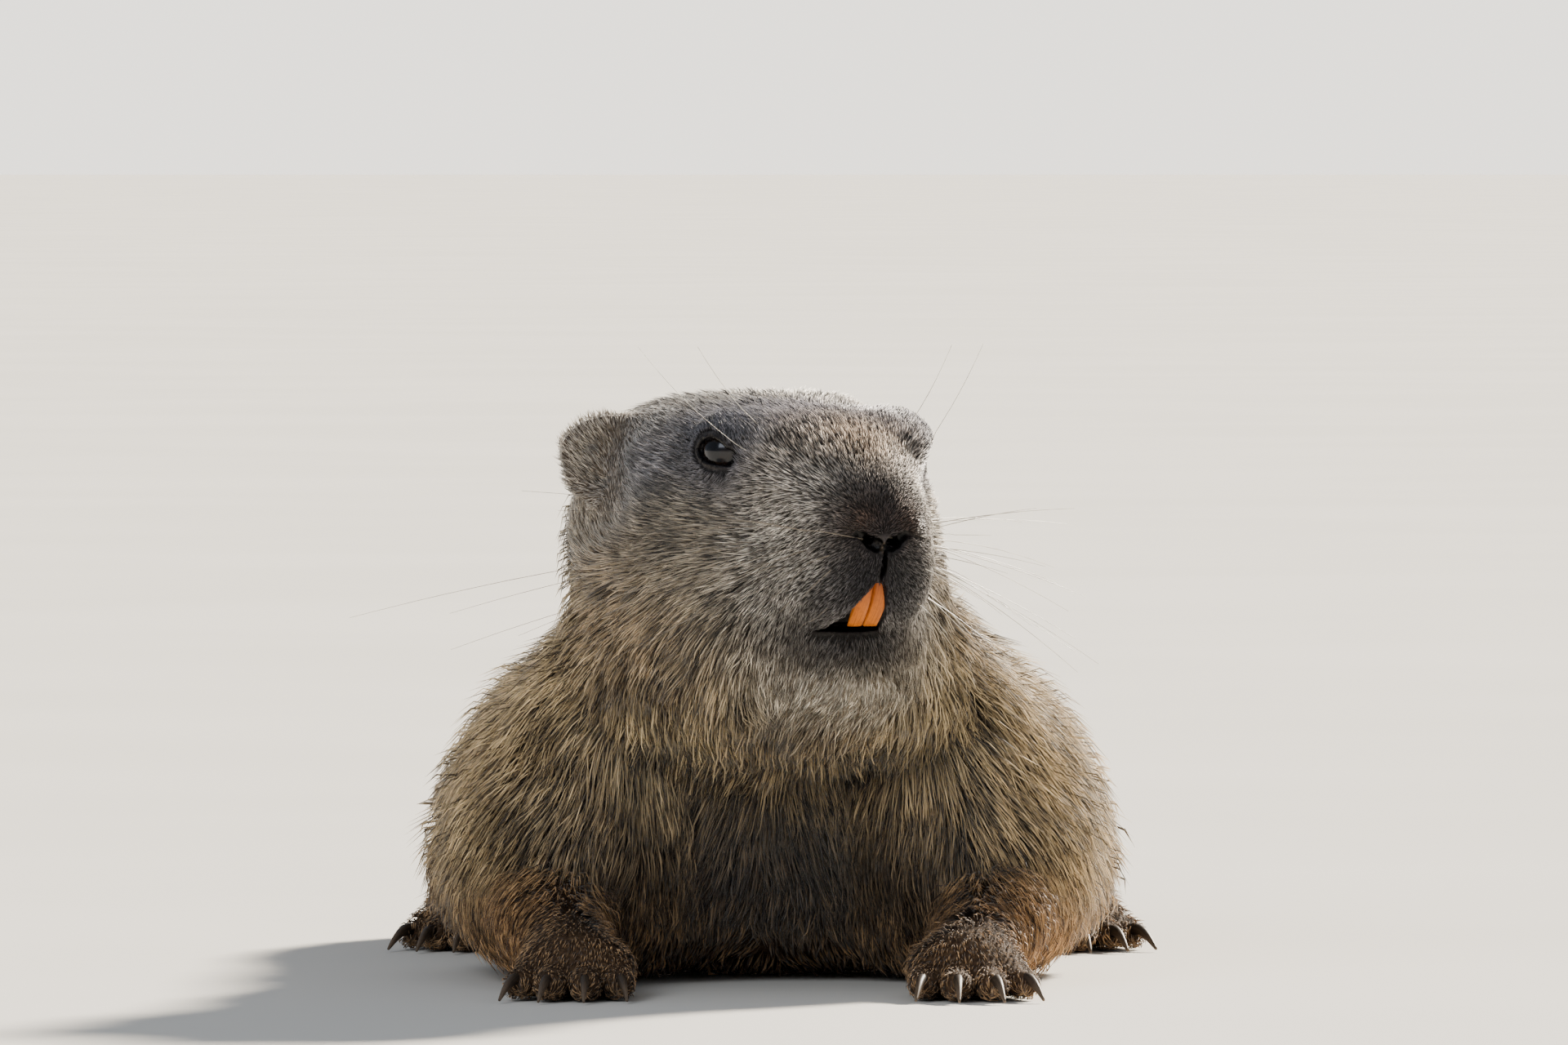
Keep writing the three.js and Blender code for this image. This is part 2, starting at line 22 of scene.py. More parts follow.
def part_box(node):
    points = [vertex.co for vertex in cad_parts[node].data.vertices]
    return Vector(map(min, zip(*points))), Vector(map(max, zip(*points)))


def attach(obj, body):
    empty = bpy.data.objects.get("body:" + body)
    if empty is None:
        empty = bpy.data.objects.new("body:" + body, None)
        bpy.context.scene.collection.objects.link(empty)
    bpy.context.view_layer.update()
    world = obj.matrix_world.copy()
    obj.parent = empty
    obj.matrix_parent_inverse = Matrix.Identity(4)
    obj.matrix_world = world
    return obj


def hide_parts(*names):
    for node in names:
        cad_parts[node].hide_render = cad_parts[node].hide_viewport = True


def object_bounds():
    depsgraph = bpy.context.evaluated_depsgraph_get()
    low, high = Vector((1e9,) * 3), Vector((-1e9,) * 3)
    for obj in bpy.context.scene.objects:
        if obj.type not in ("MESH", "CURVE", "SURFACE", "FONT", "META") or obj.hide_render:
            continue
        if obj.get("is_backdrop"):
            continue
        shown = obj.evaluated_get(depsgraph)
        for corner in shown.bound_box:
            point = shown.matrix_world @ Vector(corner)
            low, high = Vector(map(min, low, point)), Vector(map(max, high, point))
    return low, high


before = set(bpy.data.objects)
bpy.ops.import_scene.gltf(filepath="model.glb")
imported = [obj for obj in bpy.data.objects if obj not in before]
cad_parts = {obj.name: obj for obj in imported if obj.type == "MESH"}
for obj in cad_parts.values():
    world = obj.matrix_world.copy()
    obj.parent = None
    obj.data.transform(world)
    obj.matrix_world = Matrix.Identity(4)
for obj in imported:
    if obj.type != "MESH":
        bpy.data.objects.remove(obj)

CAD_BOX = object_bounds()
log = logging.getLogger("marmot")

Vec = tuple[float, float, float]
Points = np.ndarray
Numbers = np.ndarray
Dice = np.random.Generator
Field = Callable[[Points], Numbers]
Thing = bpy.types.Object
Mesh = bpy.types.Mesh
Material = bpy.types.Material
Tree = bpy.types.NodeTree
Socket = bpy.types.NodeSocket
Feed = Socket | float | Vec  # what feeds an input: an output of another node, a number or a colour

MM = 0.001
SIDES = {"left": 1.0, "right": -1.0}
FAR = 60.0  # mm: the distance that a field gives where it isn't worked out
SEED = 20481


# Small helpers for arrays of points


def lengths(vectors: Points) -> Numbers:
    """Length of each row of x, y, z."""
    return np.sqrt(np.einsum("ij,ij->i", vectors, vectors))


def unit(vectors: Points) -> Points:
    """The same directions with length one, one in each row."""
    return vectors / np.maximum(lengths(vectors), 1e-9)[:, None]


def smoothstep(values: Numbers, low: float, high: float) -> Numbers:
    """A soft step, 0 up to the low value and 1 from the high value on."""
    share = np.clip((values - low) / (high - low), 0.0, 1.0)
    return share * share * (3.0 - 2.0 * share)


def linear(hex_colour: int) -> Vec:
    """An sRGB colour given as 0xRRGGBB, as linear red, green and blue."""
    parts = [((hex_colour >> shift) & 255) / 255.0 for shift in (16, 8, 0)]
    return tuple(c / 12.92 if c <= 0.04045 else ((c + 0.055) / 1.055) ** 2.4 for c in parts)


# Fields: the distance in mm from each point to a mass of the body, negative inside it


@dataclass(frozen=True)
class Ellipsoid:
    """An ellipsoid, given by its centre and its half axes in mm."""

    centre: Vec
    half: Vec

    def __call__(self, points: Points) -> Numbers:
        """Distance to the ellipsoid at each point.

        Args:
            points: Where to read it, in mm.

        Returns:
            Distances in mm, below zero inside.
        """
        share = (points - np.array(self.centre)) / np.array(self.half)
        reach = lengths(share) + 1e-6
        slope = lengths(share / np.array(self.half)) + 1e-9
        return reach * (reach - 1.0) / slope


@dataclass(frozen=True)
class Limb:
    """A straight round limb that tapers from the first radius at start to the last at end."""

    start: Vec
    end: Vec
    first: float
    last: float

    def __call__(self, points: Points) -> Numbers:
        """Distance to the limb at each point.

        Args:
            points: Where to read it, in mm.

        Returns:
            Distances in mm, below zero inside.
        """
        run = np.array(self.end) - np.array(self.start)
        off = points - np.array(self.start)
        share = np.clip(off @ run / (run @ run), 0.0, 1.0)
        return lengths(off - share[:, None] * run) - self.first - share * (self.last - self.first)


@dataclass(frozen=True)
class Melt:
    """Masses that run into each other over a blend of the given softness in mm."""

    softness: float
    masses: tuple[Field, ...]

    def __call__(self, points: Points) -> Numbers:
        """Distance to the joined masses at each point.

        Args:
            points: Where to read it, in mm.

        Returns:
            Distances in mm, below zero inside.
        """
        total = self.masses[0](points)
        for mass in self.masses[1:]:
            total = melted(total, mass(points), self.softness)
        return total


@dataclass(frozen=True)
class Overlap:
    """What several masses have in common."""

    masses: tuple[Field, ...]

    def __call__(self, points: Points) -> Numbers:
        """Distance to the common part at each point."""
        return np.max([mass(points) for mass in self.masses], axis=0)


@dataclass(frozen=True)
class Scoop:
    """A mass with a hollow taken out of it, its edge rounded by the softness in mm."""

    mass: Field
    hollow: Field
    softness: float

    def __call__(self, points: Points) -> Numbers:
        """Distance to what is left at each point."""
        return -melted(-self.mass(points), self.hollow(points), self.softness)


@dataclass(frozen=True)
class Facets:
    """What lies behind every one of several planes, each a point and the way it faces."""

    planes: tuple[tuple[Vec, Vec], ...]

    def __call__(self, points: Points) -> Numbers:
        """Distance to the nearest of the planes at each point."""
        faces = [(np.array(at), np.array(way) / np.linalg.norm(way)) for at, way in self.planes]
        return np.max([(points - at) @ way for at, way in faces], axis=0)


@dataclass(frozen=True)
class Place:
    """A frame: its origin, and its turns in radians about x, then y, then z."""

    at: Vec
    turn: Vec = (0.0, 0.0, 0.0)

    def axes(self) -> Numbers:
        """The frame's axes as the columns of a matrix.

        Returns:
            A 3 by 3 matrix.
        """
        (a, b, c), (d, e, f) = np.cos(self.turn), np.sin(self.turn)
        about_x = np.array([[1, 0, 0], [0, a, -d], [0, d, a]])
        about_y = np.array([[b, 0, e], [0, 1, 0], [-e, 0, b]])
        about_z = np.array([[c, -f, 0], [f, c, 0], [0, 0, 1]])
        return about_z @ about_y @ about_x

    def inward(self, points: Points) -> Points:
        """Points of the outer frame, seen from this one."""
        return (points - np.array(self.at)) @ self.axes()

    def outward(self, points: Points) -> Points:
        """Points of this frame, seen from the outer one."""
        return points @ self.axes().T + np.array(self.at)

    def turned(self, directions: Points) -> Points:
        """Directions of this frame, seen from the outer one."""
        return directions @ self.axes().T


@dataclass(frozen=True)
class Placed:
    """A field given in the frame of a place."""

    mass: Field
    place: Place

    def __call__(self, points: Points) -> Numbers:
        """Distance to the placed mass at each point."""
        return self.mass(self.place.inward(points))


@dataclass(frozen=True)
class Near:
    """A field that is worked out only inside a box, and is FAR outside it."""

    mass: Field
    low: Vec
    high: Vec

    def __call__(self, points: Points) -> Numbers:
        """Distance to the mass at each point of the box, or FAR.

        Args:
            points: Where to read it, in mm.

        Returns:
            Distances in mm, below zero inside.
        """
        inside = np.all((points >= np.array(self.low)) & (points <= np.array(self.high)), axis=1)
        values = np.full(len(points), FAR)
        if inside.any():
            values[inside] = self.mass(points[inside])
        return values


def melted(first: Numbers, second: Numbers, softness: float) -> Numbers:
    """The lower of two distances in mm, blended where they differ by less than the softness."""
    overlap = np.maximum(softness - np.abs(first - second), 0.0)
    return np.minimum(first, second) - overlap * overlap / (4.0 * softness)


def both(centre: Vec, half: Vec, softness: float = 1.0) -> Melt:
    """A mass and its mirror image, given by the one with positive x, blended over the softness in mm."""
    mirrored = (-centre[0], centre[1], centre[2])
    return Melt(softness, (Ellipsoid(centre, half), Ellipsoid(mirrored, half)))


def slope_of(field: Field, points: Points, step: float = 0.08) -> tuple[Numbers, Points]:
    """A field and its slope.

    Args:
        field: The field.
        points: Where to read it.
        step: How far apart it is read, in mm.

    Returns:
        Its value and its gradient at each point.
    """
    here = field(points)
    ahead = [field(points + step * axis) for axis in np.eye(3)]
    return here, (np.stack(ahead, axis=1) - here[:, None]) / step


# The body's masses, out to the tips of the coat

HEAD = Place((-4.0, -178.0, 133.0), (0.0, 0.0, math.pi + math.radians(25.0)))
NOSE_TIP = np.array([0.0, 76.0, -13.0])
EYE_RADIUS = 8.0
EYE_AT = (23.4, 35.0, 7.8)
EYE_TURN = 1.12  # how far the eye looks outwards from straight ahead, in radians
EAR_AT = (42.0, -6.0, 5.0)
EAR_TURN = (0.14, 0.62)  # lean, and turn outwards, in radians
TAIL_ROOT = (0.0, 124.0, 34.0)
TAIL_LENGTH = 172.0


@dataclass(frozen=True)
class Foot:
    """Sizes of a foot.

    Attributes:
        at: Where it stands, with x away from the middle plane, in mm.
        turn: How far it points outwards, in radians.
        digits: Length of each digit, from the innermost outwards, in mm.
        fan: Angle between two digits, in radians.
        step: Distance between their roots, in mm.
    """

    at: tuple[float, float]
    turn: float
    digits: tuple[float, ...]
    fan: float
    step: float


FOREFOOT = Foot((50.0, -222.0), 0.1, (13, 17, 17.5, 14), 0.17, 6.4)
HINDFOOT = Foot((80.0, 16.0), 0.16, (12, 17, 18, 17, 12), 0.15, 6.2)


def eye_place(side: float) -> Place:
    """The frame of an eye, with y along the line of sight; side is 1 for left and -1 for right."""
    return Place((-side * EYE_AT[0], EYE_AT[1], EYE_AT[2]), (0.0, 0.0, side * EYE_TURN))


def ear_place(side: float) -> Place:
    """The frame of an ear in the head's, with y the way its hollow faces."""
    lean, outward = EAR_TURN
    return Place((-side * EAR_AT[0], EAR_AT[1], EAR_AT[2]), (lean, 0.0, side * outward))


def head_mass() -> Field:
    """The head without its ears, in its own frame.

    Returns:
        Its field.
    """
    skull = (
        Ellipsoid((0, 3, -4.5), (40, 38, 26)),
        Ellipsoid((0, 32, -1), (26, 32, 18)),
        both((22, 36, 10.5), (9.6, 14, 7), 4),
        both((23, -4, 4), (15, 24, 14), 6),
        Limb((0, 42, -3), (0, 58.5, -9.5), 18, 14.8),
        Ellipsoid((0, 20, -36), (35, 34, 26)),
        both((19, 16, -18), (20, 29, 25), 8),
        Ellipsoid((0, -20, -14), (42, 30, 30)),
    )
    muzzle = (
        Ellipsoid((0, 56.5, -15), (16.5, 16.5, 15.5)),
        Ellipsoid((0, 69, -12.5), (11, 5.5, 9)),
        both((8.5, 58.5, -24), (11.5, 16, 12.7), 3),
        Ellipsoid((0, 40, -43), (17, 20.5, 13)),
    )
    return Near(Melt(16, (Melt(12, skull), Melt(8, muzzle))), (-80, -90, -100), (80, 125, 65))


def neck_mass() -> Field:
    """The neck, with the ruff under the throat."""
    masses = (Limb((-5, -158, 97), (0, -112, 70), 46, 55), Ellipsoid((3, -186, 84), (47, 34, 27)))
    return Near(Melt(14, masses), (-110, -275, -40), (110, 0, 190))


def trunk_mass() -> Field:
    """The trunk: a broad low base under a narrower arched back.

    Returns:
        Its field.
    """
    back = (((0, -100, 56), (54, 76, 50)), ((0, -15, 60), (61, 105, 60)), ((0, 68, 55), (58, 88, 55)))
    base = (((0, -95, 36), (66, 70, 34)), ((0, -15, 38), (88, 108, 42)), ((0, 68, 36), (76, 84, 38)))
    masses = tuple(Ellipsoid(*mass) for mass in back + base)
    return Near(Melt(26, masses), (-140, -230, -60), (140, 230, 170))


def foot_place(foot: Foot, side: float) -> Place:
    """The frame of FOREFOOT or HINDFOOT in the body's, with y towards its toes."""
    return Place((side * foot.at[0], foot.at[1], 0.0), (0.0, 0.0, math.pi + side * foot.turn))


def digits_of(foot: Foot, side: float) -> list[tuple[Numbers, Numbers, float]]:
    """The digits of a foot in its own frame, from the innermost outwards.

    Args:
        foot: FOREFOOT or HINDFOOT.
        side: 1 for left, -1 for right.

    Returns:
        Root, tip and heading in radians of each digit.
    """
    made = []
    for index, length in enumerate(foot.digits):
        place = side * ((len(foot.digits) - 1) / 2 - index)
        angle = place * foot.fan
        root = np.array([place * foot.step, 8.0 - abs(place) * 1.6, 5.6])
        tip = root + length * np.array([math.sin(angle), math.cos(angle), 0.0])
        made.append((root, np.array([tip[0], tip[1], 4.2]), angle))
    return made


def toes_mass(foot: Foot, side: float) -> Field:
    """The toes of a foot."""
    toes = tuple(Limb(tuple(root), tuple(tip), 5.4, 4.4) for root, tip, _ in digits_of(foot, side))
    return Placed(Melt(2.5, toes), foot_place(foot, side))


def foreleg_mass(side: float) -> Field:
    """A foreleg, bent under the chest, with its foot.

    Args:
        side: 1 for left, -1 for right.

    Returns:
        Its field.
    """
    s = side
    foot = (
        Limb((57 * s, -186, 18), (50 * s, -226, 8), 13.5, 9.5),
        Ellipsoid((50 * s, -221, 8), (15.5, 15, 8.8)),
        toes_mass(FOREFOOT, side),
    )
    leg = (
        Limb((46 * s, -132, 50), (68 * s, -106, 30), 38, 23),
        Ellipsoid((50 * s, -142, 40), (37, 48, 43)),
        Limb((69 * s, -104, 27), (57 * s, -186, 19), 21.5, 14.5),
        Melt(6, foot),
    )
    low, high = sorted((-20 * s, 130 * s))
    return Near(Melt(9, leg), (low, -290, -50), (high, -40, 125))


def hindleg_mass(side: float) -> Field:
    """A hindleg, folded beside the belly, with its foot.

    Args:
        side: 1 for left, -1 for right.

    Returns:
        Its field.
    """
    s = side
    foot = (
        Limb((68 * s, 78, 11), (80 * s, 14, 8), 11, 10.5),
        Ellipsoid((80 * s, 16, 7.5), (16.5, 16, 8.4)),
        toes_mass(HINDFOOT, side),
    )
    leg = (
        Ellipsoid((56 * s, 52, 36), (33, 60, 37)),
        Limb((70 * s, 14, 34), (66 * s, 74, 18), 22, 15),
        Melt(6, foot),
    )
    low, high = sorted((-10 * s, 140 * s))
    return Near(Melt(9, leg), (low, -60, -50), (high, 150, 115))


def tail_point(share: float) -> Vec:
    """A point of the tail's middle line, at a share of its length from the root."""
    drop = 13.0 * math.sin(math.pi / 2 * min(1.0, 2.2 * share))
    return (30.0 * share * share, TAIL_ROOT[1] + TAIL_LENGTH * share, TAIL_ROOT[2] - drop)


def tail_radius(share: float) -> float:
    """Radius of the tail at a share of its length, out to the tips of its hair."""
    return 17.0 + 8.0 * math.sin(math.pi * min(1.0, 1.15 * share)) - 9.0 * share**4


def tail_mass(shrink: float = 0.0) -> Field:
    """The tail.

    Args:
        shrink: How much smaller than the coat's outline it is made, in mm.

    Returns:
        The field of the tail.
    """
    shares = [step / 7 * 0.93 for step in range(8)]
    parts = tuple(
        Limb(tail_point(a), tail_point(b), tail_radius(a) - shrink, tail_radius(b) - shrink)
        for a, b in zip(shares, shares[1:])
    )
    return Near(Melt(5, parts), (-70, 70, -60), (110, 345, 100))


def body_mass() -> Field:
    """The whole body out to the tips of its coat, without the ears, its creases filled softly.

    Returns:
        Its field.
    """
    sides = both((46, -170, 68), (20, 20, 24), 8)
    core = Melt(24, (trunk_mass(), neck_mass(), Placed(head_mass(), HEAD), sides))
    legs = [leg(side) for side in SIDES.values() for leg in (foreleg_mass, hindleg_mass)]
    return Melt(20, (core, *legs, tail_mass()))


# The coat: what grows where, and which way it lies


class Home(Enum):
    """The frame in which a region of the coat is given."""

    HEAD = "head"
    BODY = "body"


@dataclass(frozen=True)
class Region:
    """One region of the coat.

    Attributes:
        name: What it is called.
        home: The frame that its mass and its lie are given in.
        mass: Where it is; it fades into its neighbours around this mass.
        depth: How far the coat's tips stand over the skin, in mm.
        length: Length of its hairs, in mm.
        width: Width of its tufts at the widest, in mm.
        density: How closely its tufts grow, compared with the rest of its zone.
        under: Colour of the coat near the skin, as 0xRRGGBB.
        over: Colour of the tips, as 0xRRGGBB.
        lie: The way its hair lies; x counts away from the middle plane.
        from_nose: How much of its lie is away from the tip of the nose.
        claim: How strongly it holds its ground against its neighbours.
    """

    name: str
    home: Home
    mass: Field
    depth: float
    length: float
    width: float
    density: float
    under: int
    over: int
    lie: Vec
    from_nose: float = 0.0
    claim: float = 1.0


def ear_region() -> Field:
    """The two ears."""
    plates = [Placed(Ellipsoid((0, 0, 1), (12.5, 5, 12.5)), ear_place(side)) for side in SIDES.values()]
    return Melt(1.0, tuple(plates))


def ear_hollow() -> Field:
    """The inner faces of the two ears."""
    bowls = {side: Ellipsoid((side * 2.4, 4.6, -0.6), (10.4, 5.0, 9.0)) for side in SIDES.values()}
    return Melt(1.0, tuple(Placed(bowl, ear_place(side)) for side, bowl in bowls.items()))


H, B = Home.HEAD, Home.BODY
REGIONS = (
    Region("nose", H, Ellipsoid((0, 73, -18.5), (12, 7, 15)), 0.4, 1.6, 0.22, 2.2,
        0x06060A, 0x1D1F2C, (0, 0, 0), 1.0, 3.2),
    Region("nose_wing", H, both((6.2, 77, -9.8), (1.8, 3, 1.4)), 0.4, 1.5, 0.22, 2.4,
        0x2A1A0C, 0x80542F, (0, 0, 0), 1.0, 1.7),
    Region("muzzle", H, Ellipsoid((0, 66, -27), (13, 9, 8)), 0.9, 3.2, 0.22, 2.0,
        0x141317, 0x7E7C80, (0.3, 0, -0.5), 0.8, 1.5),
    Region("muzzle_side", H, both((13.5, 60, -13), (4, 9, 12)), 1.5, 4.8, 0.28, 1.6,
        0x3A342F, 0xFFF8EE, (0.2, 0, -0.3), 1.0, 3.0),
    Region("bridge", H, Ellipsoid((0, 50, 5), (12, 14, 6)), 1.5, 4.6, 0.28, 1.3,
        0x2A1D15, 0xF2D4B2, (0, 0, 0.15), 1.0, 1.3),
    Region("forehead", H, Ellipsoid((0, 28, 11), (20, 22, 9)), 2.6, 7.0, 0.34, 1.0,
        0x100F14, 0xBEB8BC, (0.25, 0, 0.55), 1.0),
    Region("brow", H, both((23, 34, 17), (9, 13, 4)), 1.9, 5.5, 0.3, 1.2,
        0x100F14, 0x98969E, (0.3, 0, 0.9), 0.9, 1.4),
    Region("crown", H, Ellipsoid((0, -6, 14), (30, 20, 10)), 3.4, 9.0, 0.36, 1.0,
        0x262120, 0xFFF8EC, (0.35, -0.3, 0.5), 0.6),
    Region("eye_round", H, both((28, 38, 7), (6, 9, 7)), 0.7, 2.6, 0.2, 1.7,
        0x101014, 0x70707A, (0.2, 0, 0.1), 1.0, 2.0),
    Region("temple", H, both((36, 12, 4), (8, 14, 9)), 2.4, 7.5, 0.36, 1.0,
        0x121116, 0xA6A4AC, (0.2, 0, 0), 1.0),
    Region("cheek", H, both((28, 24, -14), (11, 20, 13)), 3.2, 10.5, 0.38, 1.0,
        0x13100D, 0xB0A492, (0.1, 0, -0.12), 1.0),
    Region("jowl", H, both((26, 8, -36), (15, 22, 16)), 5.5, 14.0, 0.42, 1.0,
        0x1E1610, 0xC6AE8E, (0.15, 0, -0.5), 0.8),
    Region("chin", H, Ellipsoid((0, 50, -52), (14, 12, 7)), 2.5, 8.0, 0.32, 1.3,
        0x75664F, 0xFFF6E6, (0.25, -0.2, -1.1), 0.3, 2.3),
    Region("lower_lip", H, Ellipsoid((0, 59.5, -41), (9.5, 5, 4)), 0.8, 3.2, 0.22, 2.0,
        0x0B0B0E, 0x35343A, (0.25, 0, -1.0), 0.2, 5.0),
    Region("throat", H, Ellipsoid((0, 26, -60), (24, 24, 13)), 7.0, 16.0, 0.36, 1.0,
        0x2C2017, 0xC0A67E, (0.2, -0.3, -1.0), 0.2),
    Region("ear", H, ear_region(), 1.2, 6.0, 0.24, 1.6,
        0x5E4C3A, 0xF0E0C4, (0.35, -0.2, 0.8), 0.0, 2.4),
    # Painted shade: the ear's hollow is coloured darker and greyer than its rim, for the shade inside the
    # ear.
    Region("ear_hollow", H, ear_hollow(), 0.2, 1.8, 0.17, 2.2,
        0x4A433D, 0xB0A69E, (0.2, -0.1, 0.8), 0.0, 9.0),
    Region("nape", H, Ellipsoid((0, -36, -4), (34, 14, 22)), 7.0, 14.0, 0.42, 1.0,
        0x241E19, 0xC6B79A, (0.3, -0.8, -0.2), 0.3),
    Region("neck", B, Ellipsoid((0, -140, 88), (48, 30, 44)), 8.5, 19.0, 0.42, 1.0,
        0x241D18, 0xB4A488, (0.35, 0.6, -0.7)),
    Region("ruff", B, Ellipsoid((0, -200, 72), (44, 18, 18)), 8.5, 20.0, 0.42, 1.2,
        0x2C2117, 0xD0BA90, (0.25, 0.1, -1.0)),
    # Painted shade: the chest's hair is coloured almost black, for the shadow under the ruff and between the
    # forelegs.
    Region("chest", B, Ellipsoid((2, -200, 36), (44, 24, 24)), 7.0, 18.0, 0.44, 0.9,
        0x090706, 0x3C2C22, (0.2, 0.2, -1.0), 0.0, 2.6),
    Region("shoulder", B, both((62, -150, 58), (30, 40, 36)), 8.5, 18.0, 0.4, 1.0,
        0x2E241B, 0xDCC296, (0.35, 0.35, -0.9)),
    Region("forearm", B, both((62, -160, 16), (20, 40, 16)), 4.0, 9.0, 0.36, 1.2,
        0x40291B, 0xC89A68, (0.1, -0.45, -0.9)),
    Region("forefoot", B, both((50, -232, 7), (18, 24, 9)), 0.8, 3.4, 0.3, 2.2,
        0x4A3626, 0xB8946C, (0, -0.85, -0.5), 0.0, 2.0),
    Region("back", B, Ellipsoid((0, 0, 100), (50, 130, 30)), 11.0, 25.0, 0.75, 1.0,
        0x332C26, 0xBAAA90, (0.1, 1.0, -0.1)),
    Region("flank", B, both((74, -20, 50), (24, 90, 30)), 9.0, 22.0, 0.75, 1.0,
        0x43382D, 0xC4AC86, (0.2, 0.85, -0.5)),
    Region("belly", B, Ellipsoid((0, -20, 4), (74, 130, 10)), 4.0, 10.0, 0.8, 0.4,
        0x5E4835, 0xC29C70, (0.3, 1.0, 0)),
    Region("rump", B, Ellipsoid((0, 112, 66), (50, 46, 46)), 11.0, 25.0, 0.75, 1.0,
        0x3F352B, 0xBEA27A, (0.2, 0.9, -0.5)),
    Region("thigh", B, both((76, 55, 40), (20, 50, 34)), 8.0, 19.0, 0.7, 1.0,
        0x473A2E, 0xC2A27A, (0.2, 0.6, -0.8)),
    Region("hindfoot", B, both((80, 22, 7), (18, 44, 9)), 0.8, 3.6, 0.32, 2.2,
        0x4A3626, 0xB8946C, (0, -0.85, -0.5), 0.0, 2.0),
    Region("tail", B, tail_mass(4.0), 11.0, 30.0, 0.8, 1.0,
        0x33281F, 0x8C7054, (0.15, 1.0, -0.02)),
    Region("tail_end", B, Ellipsoid((28, 292, 22), (22, 34, 22)), 11.0, 34.0, 0.8, 1.0,
        0x14100E, 0x352A23, (0.25, 1.0, 0), 0.0, 1.8),
)
HEAD_REACH = np.array(((-85.0, -85.0, -105.0), (85.0, 120.0, 60.0)))


def in_reach(in_head: Points) -> Numbers:
    """Which points of the head's frame are near enough for it to matter to them."""
    return np.all((in_head > HEAD_REACH[0]) & (in_head < HEAD_REACH[1]), axis=1)


class CoatMap:
    """Tells, for any point, which regions of the coat it belongs to."""

    fade = {Home.HEAD: 4.0, Home.BODY: 8.0}  # mm over which a region gives way

    def weights(self, points: Points) -> Numbers:
        """How far each point belongs to each region.

        Args:
            points: Points in the body's frame, in mm.

        Returns:
            One row for each point, which adds up to one.
        """
        in_head = HEAD.inward(points)
        shares = np.empty((len(points), len(REGIONS)))
        near = in_reach(in_head)
        for column, region in enumerate(REGIONS):
            fade = self.fade[region.home]
            away = np.full(len(points), 12.0 * fade)
            if region.home is Home.HEAD:
                away[near] = region.mass(in_head[near])
            else:
                away = region.mass(points)
            away = np.clip(away, -1.5 * fade, 12.0 * fade)
            shares[:, column] = region.claim * np.exp(-away / fade)
        return shares / shares.sum(axis=1)[:, None]

    def depth(self, points: Points) -> Numbers:
        """Depth of the coat at each point, in mm."""
        return self.weights(points) @ column_of("depth")

    def lie(self, points: Points, weights: Numbers, normals: Points) -> Points:
        """The way the hair lies at points of the skin.

        Args:
            points: Points of the skin, in mm.
            weights: Their weights.
            normals: The way the skin faces there.

        Returns:
            Directions along the skin, one long.
        """
        in_head = HEAD.inward(points)
        from_nose = unit(in_head - NOSE_TIP)
        total = np.zeros_like(points)
        for column, region in enumerate(REGIONS):
            seat = in_head if region.home is Home.HEAD else points
            way = np.repeat([region.lie], len(points), axis=0).astype(float)
            way[:, 0] *= np.tanh(seat[:, 0] / 8.0)
            if region.home is Home.HEAD:
                way = HEAD.turned(way + region.from_nose * from_nose)
            total += weights[:, column : column + 1] * way
        total = self.round_the_eyes(total, in_head)
        total = self.up_the_ears(total, in_head)
        total -= np.einsum("ij,ij->i", total, normals)[:, None] * normals
        return unit(total)

    @staticmethod
    def round_the_eyes(lie: Points, in_head: Points) -> Points:
        """The lie, parted so that no hair crosses an eye.

        Args:
            lie: The lie before.
            in_head: The same points in the head's frame.

        Returns:
            The lie after.
        """
        for side in SIDES.values():
            away = in_head - eye_place(side).outward(np.array([[0, EYE_RADIUS, 0]]))[0]
            pull = np.exp(-np.maximum(lengths(away) - 6.5, 0.0) / 4.5)
            towards = -HEAD.turned(unit(away * np.array([1.0, 1.0, 1.5])))
            into = np.maximum(np.einsum("ij,ij->i", lie, towards), 0.0)
            lie = lie - (pull * (into + 0.45))[:, None] * towards
        return lie

    @staticmethod
    def up_the_ears(lie: Points, in_head: Points) -> Points:
        """The lie, fanned out from the root of each ear to its rim.

        Args:
            lie: The lie before.
            in_head: The same points in the head's frame.

        Returns:
            The lie after.
        """
        for side in SIDES.values():
            place = ear_place(side)
            seen = place.inward(in_head)
            fan = unit(np.stack([seen[:, 0] - side * 5.0, 0 * seen[:, 1], seen[:, 2] + 9.0], axis=1))
            share = smoothstep(-Ellipsoid((0, 0, 0), (12, 5, 12))(seen), -3.0, 0.0)[:, None]
            lie = lie * (1 - share) + HEAD.turned(place.turned(fan)) * share
        return lie


def column_of(name: str) -> Numbers:
    """One number of every region, in their order."""
    return np.array([getattr(region, name) for region in REGIONS], dtype=float)


def colours_of(name: str) -> Numbers:
    """One colour of every region, in linear parts."""
    return np.array([linear(getattr(region, name)) for region in REGIONS])


# The skin's own features, in the head's frame


class Change(Enum):
    """What a feature does to the skin."""

    ADD = "add"
    CUT = "cut"


@dataclass(frozen=True)
class Feature:
    """A small form of the head's skin.

    Attributes:
        change: Whether it is added or cut away.
        mass: Its field in the head's frame.
        softness: How softly it runs into the skin, in mm.
        bare: How far around it the skin grows no hair, in mm; below zero it grows everywhere.
        tone: Colour of the bare skin there, as 0xRRGGBB; in the nostrils, the cleft of the lip, the mouth
            and the ear holes it is painted shade.
    """

    change: Change
    mass: Field
    softness: float
    bare: float = -1.0
    tone: int = 0x1A1718


LID = 0.75  # thickness of the lids over the ball, in mm


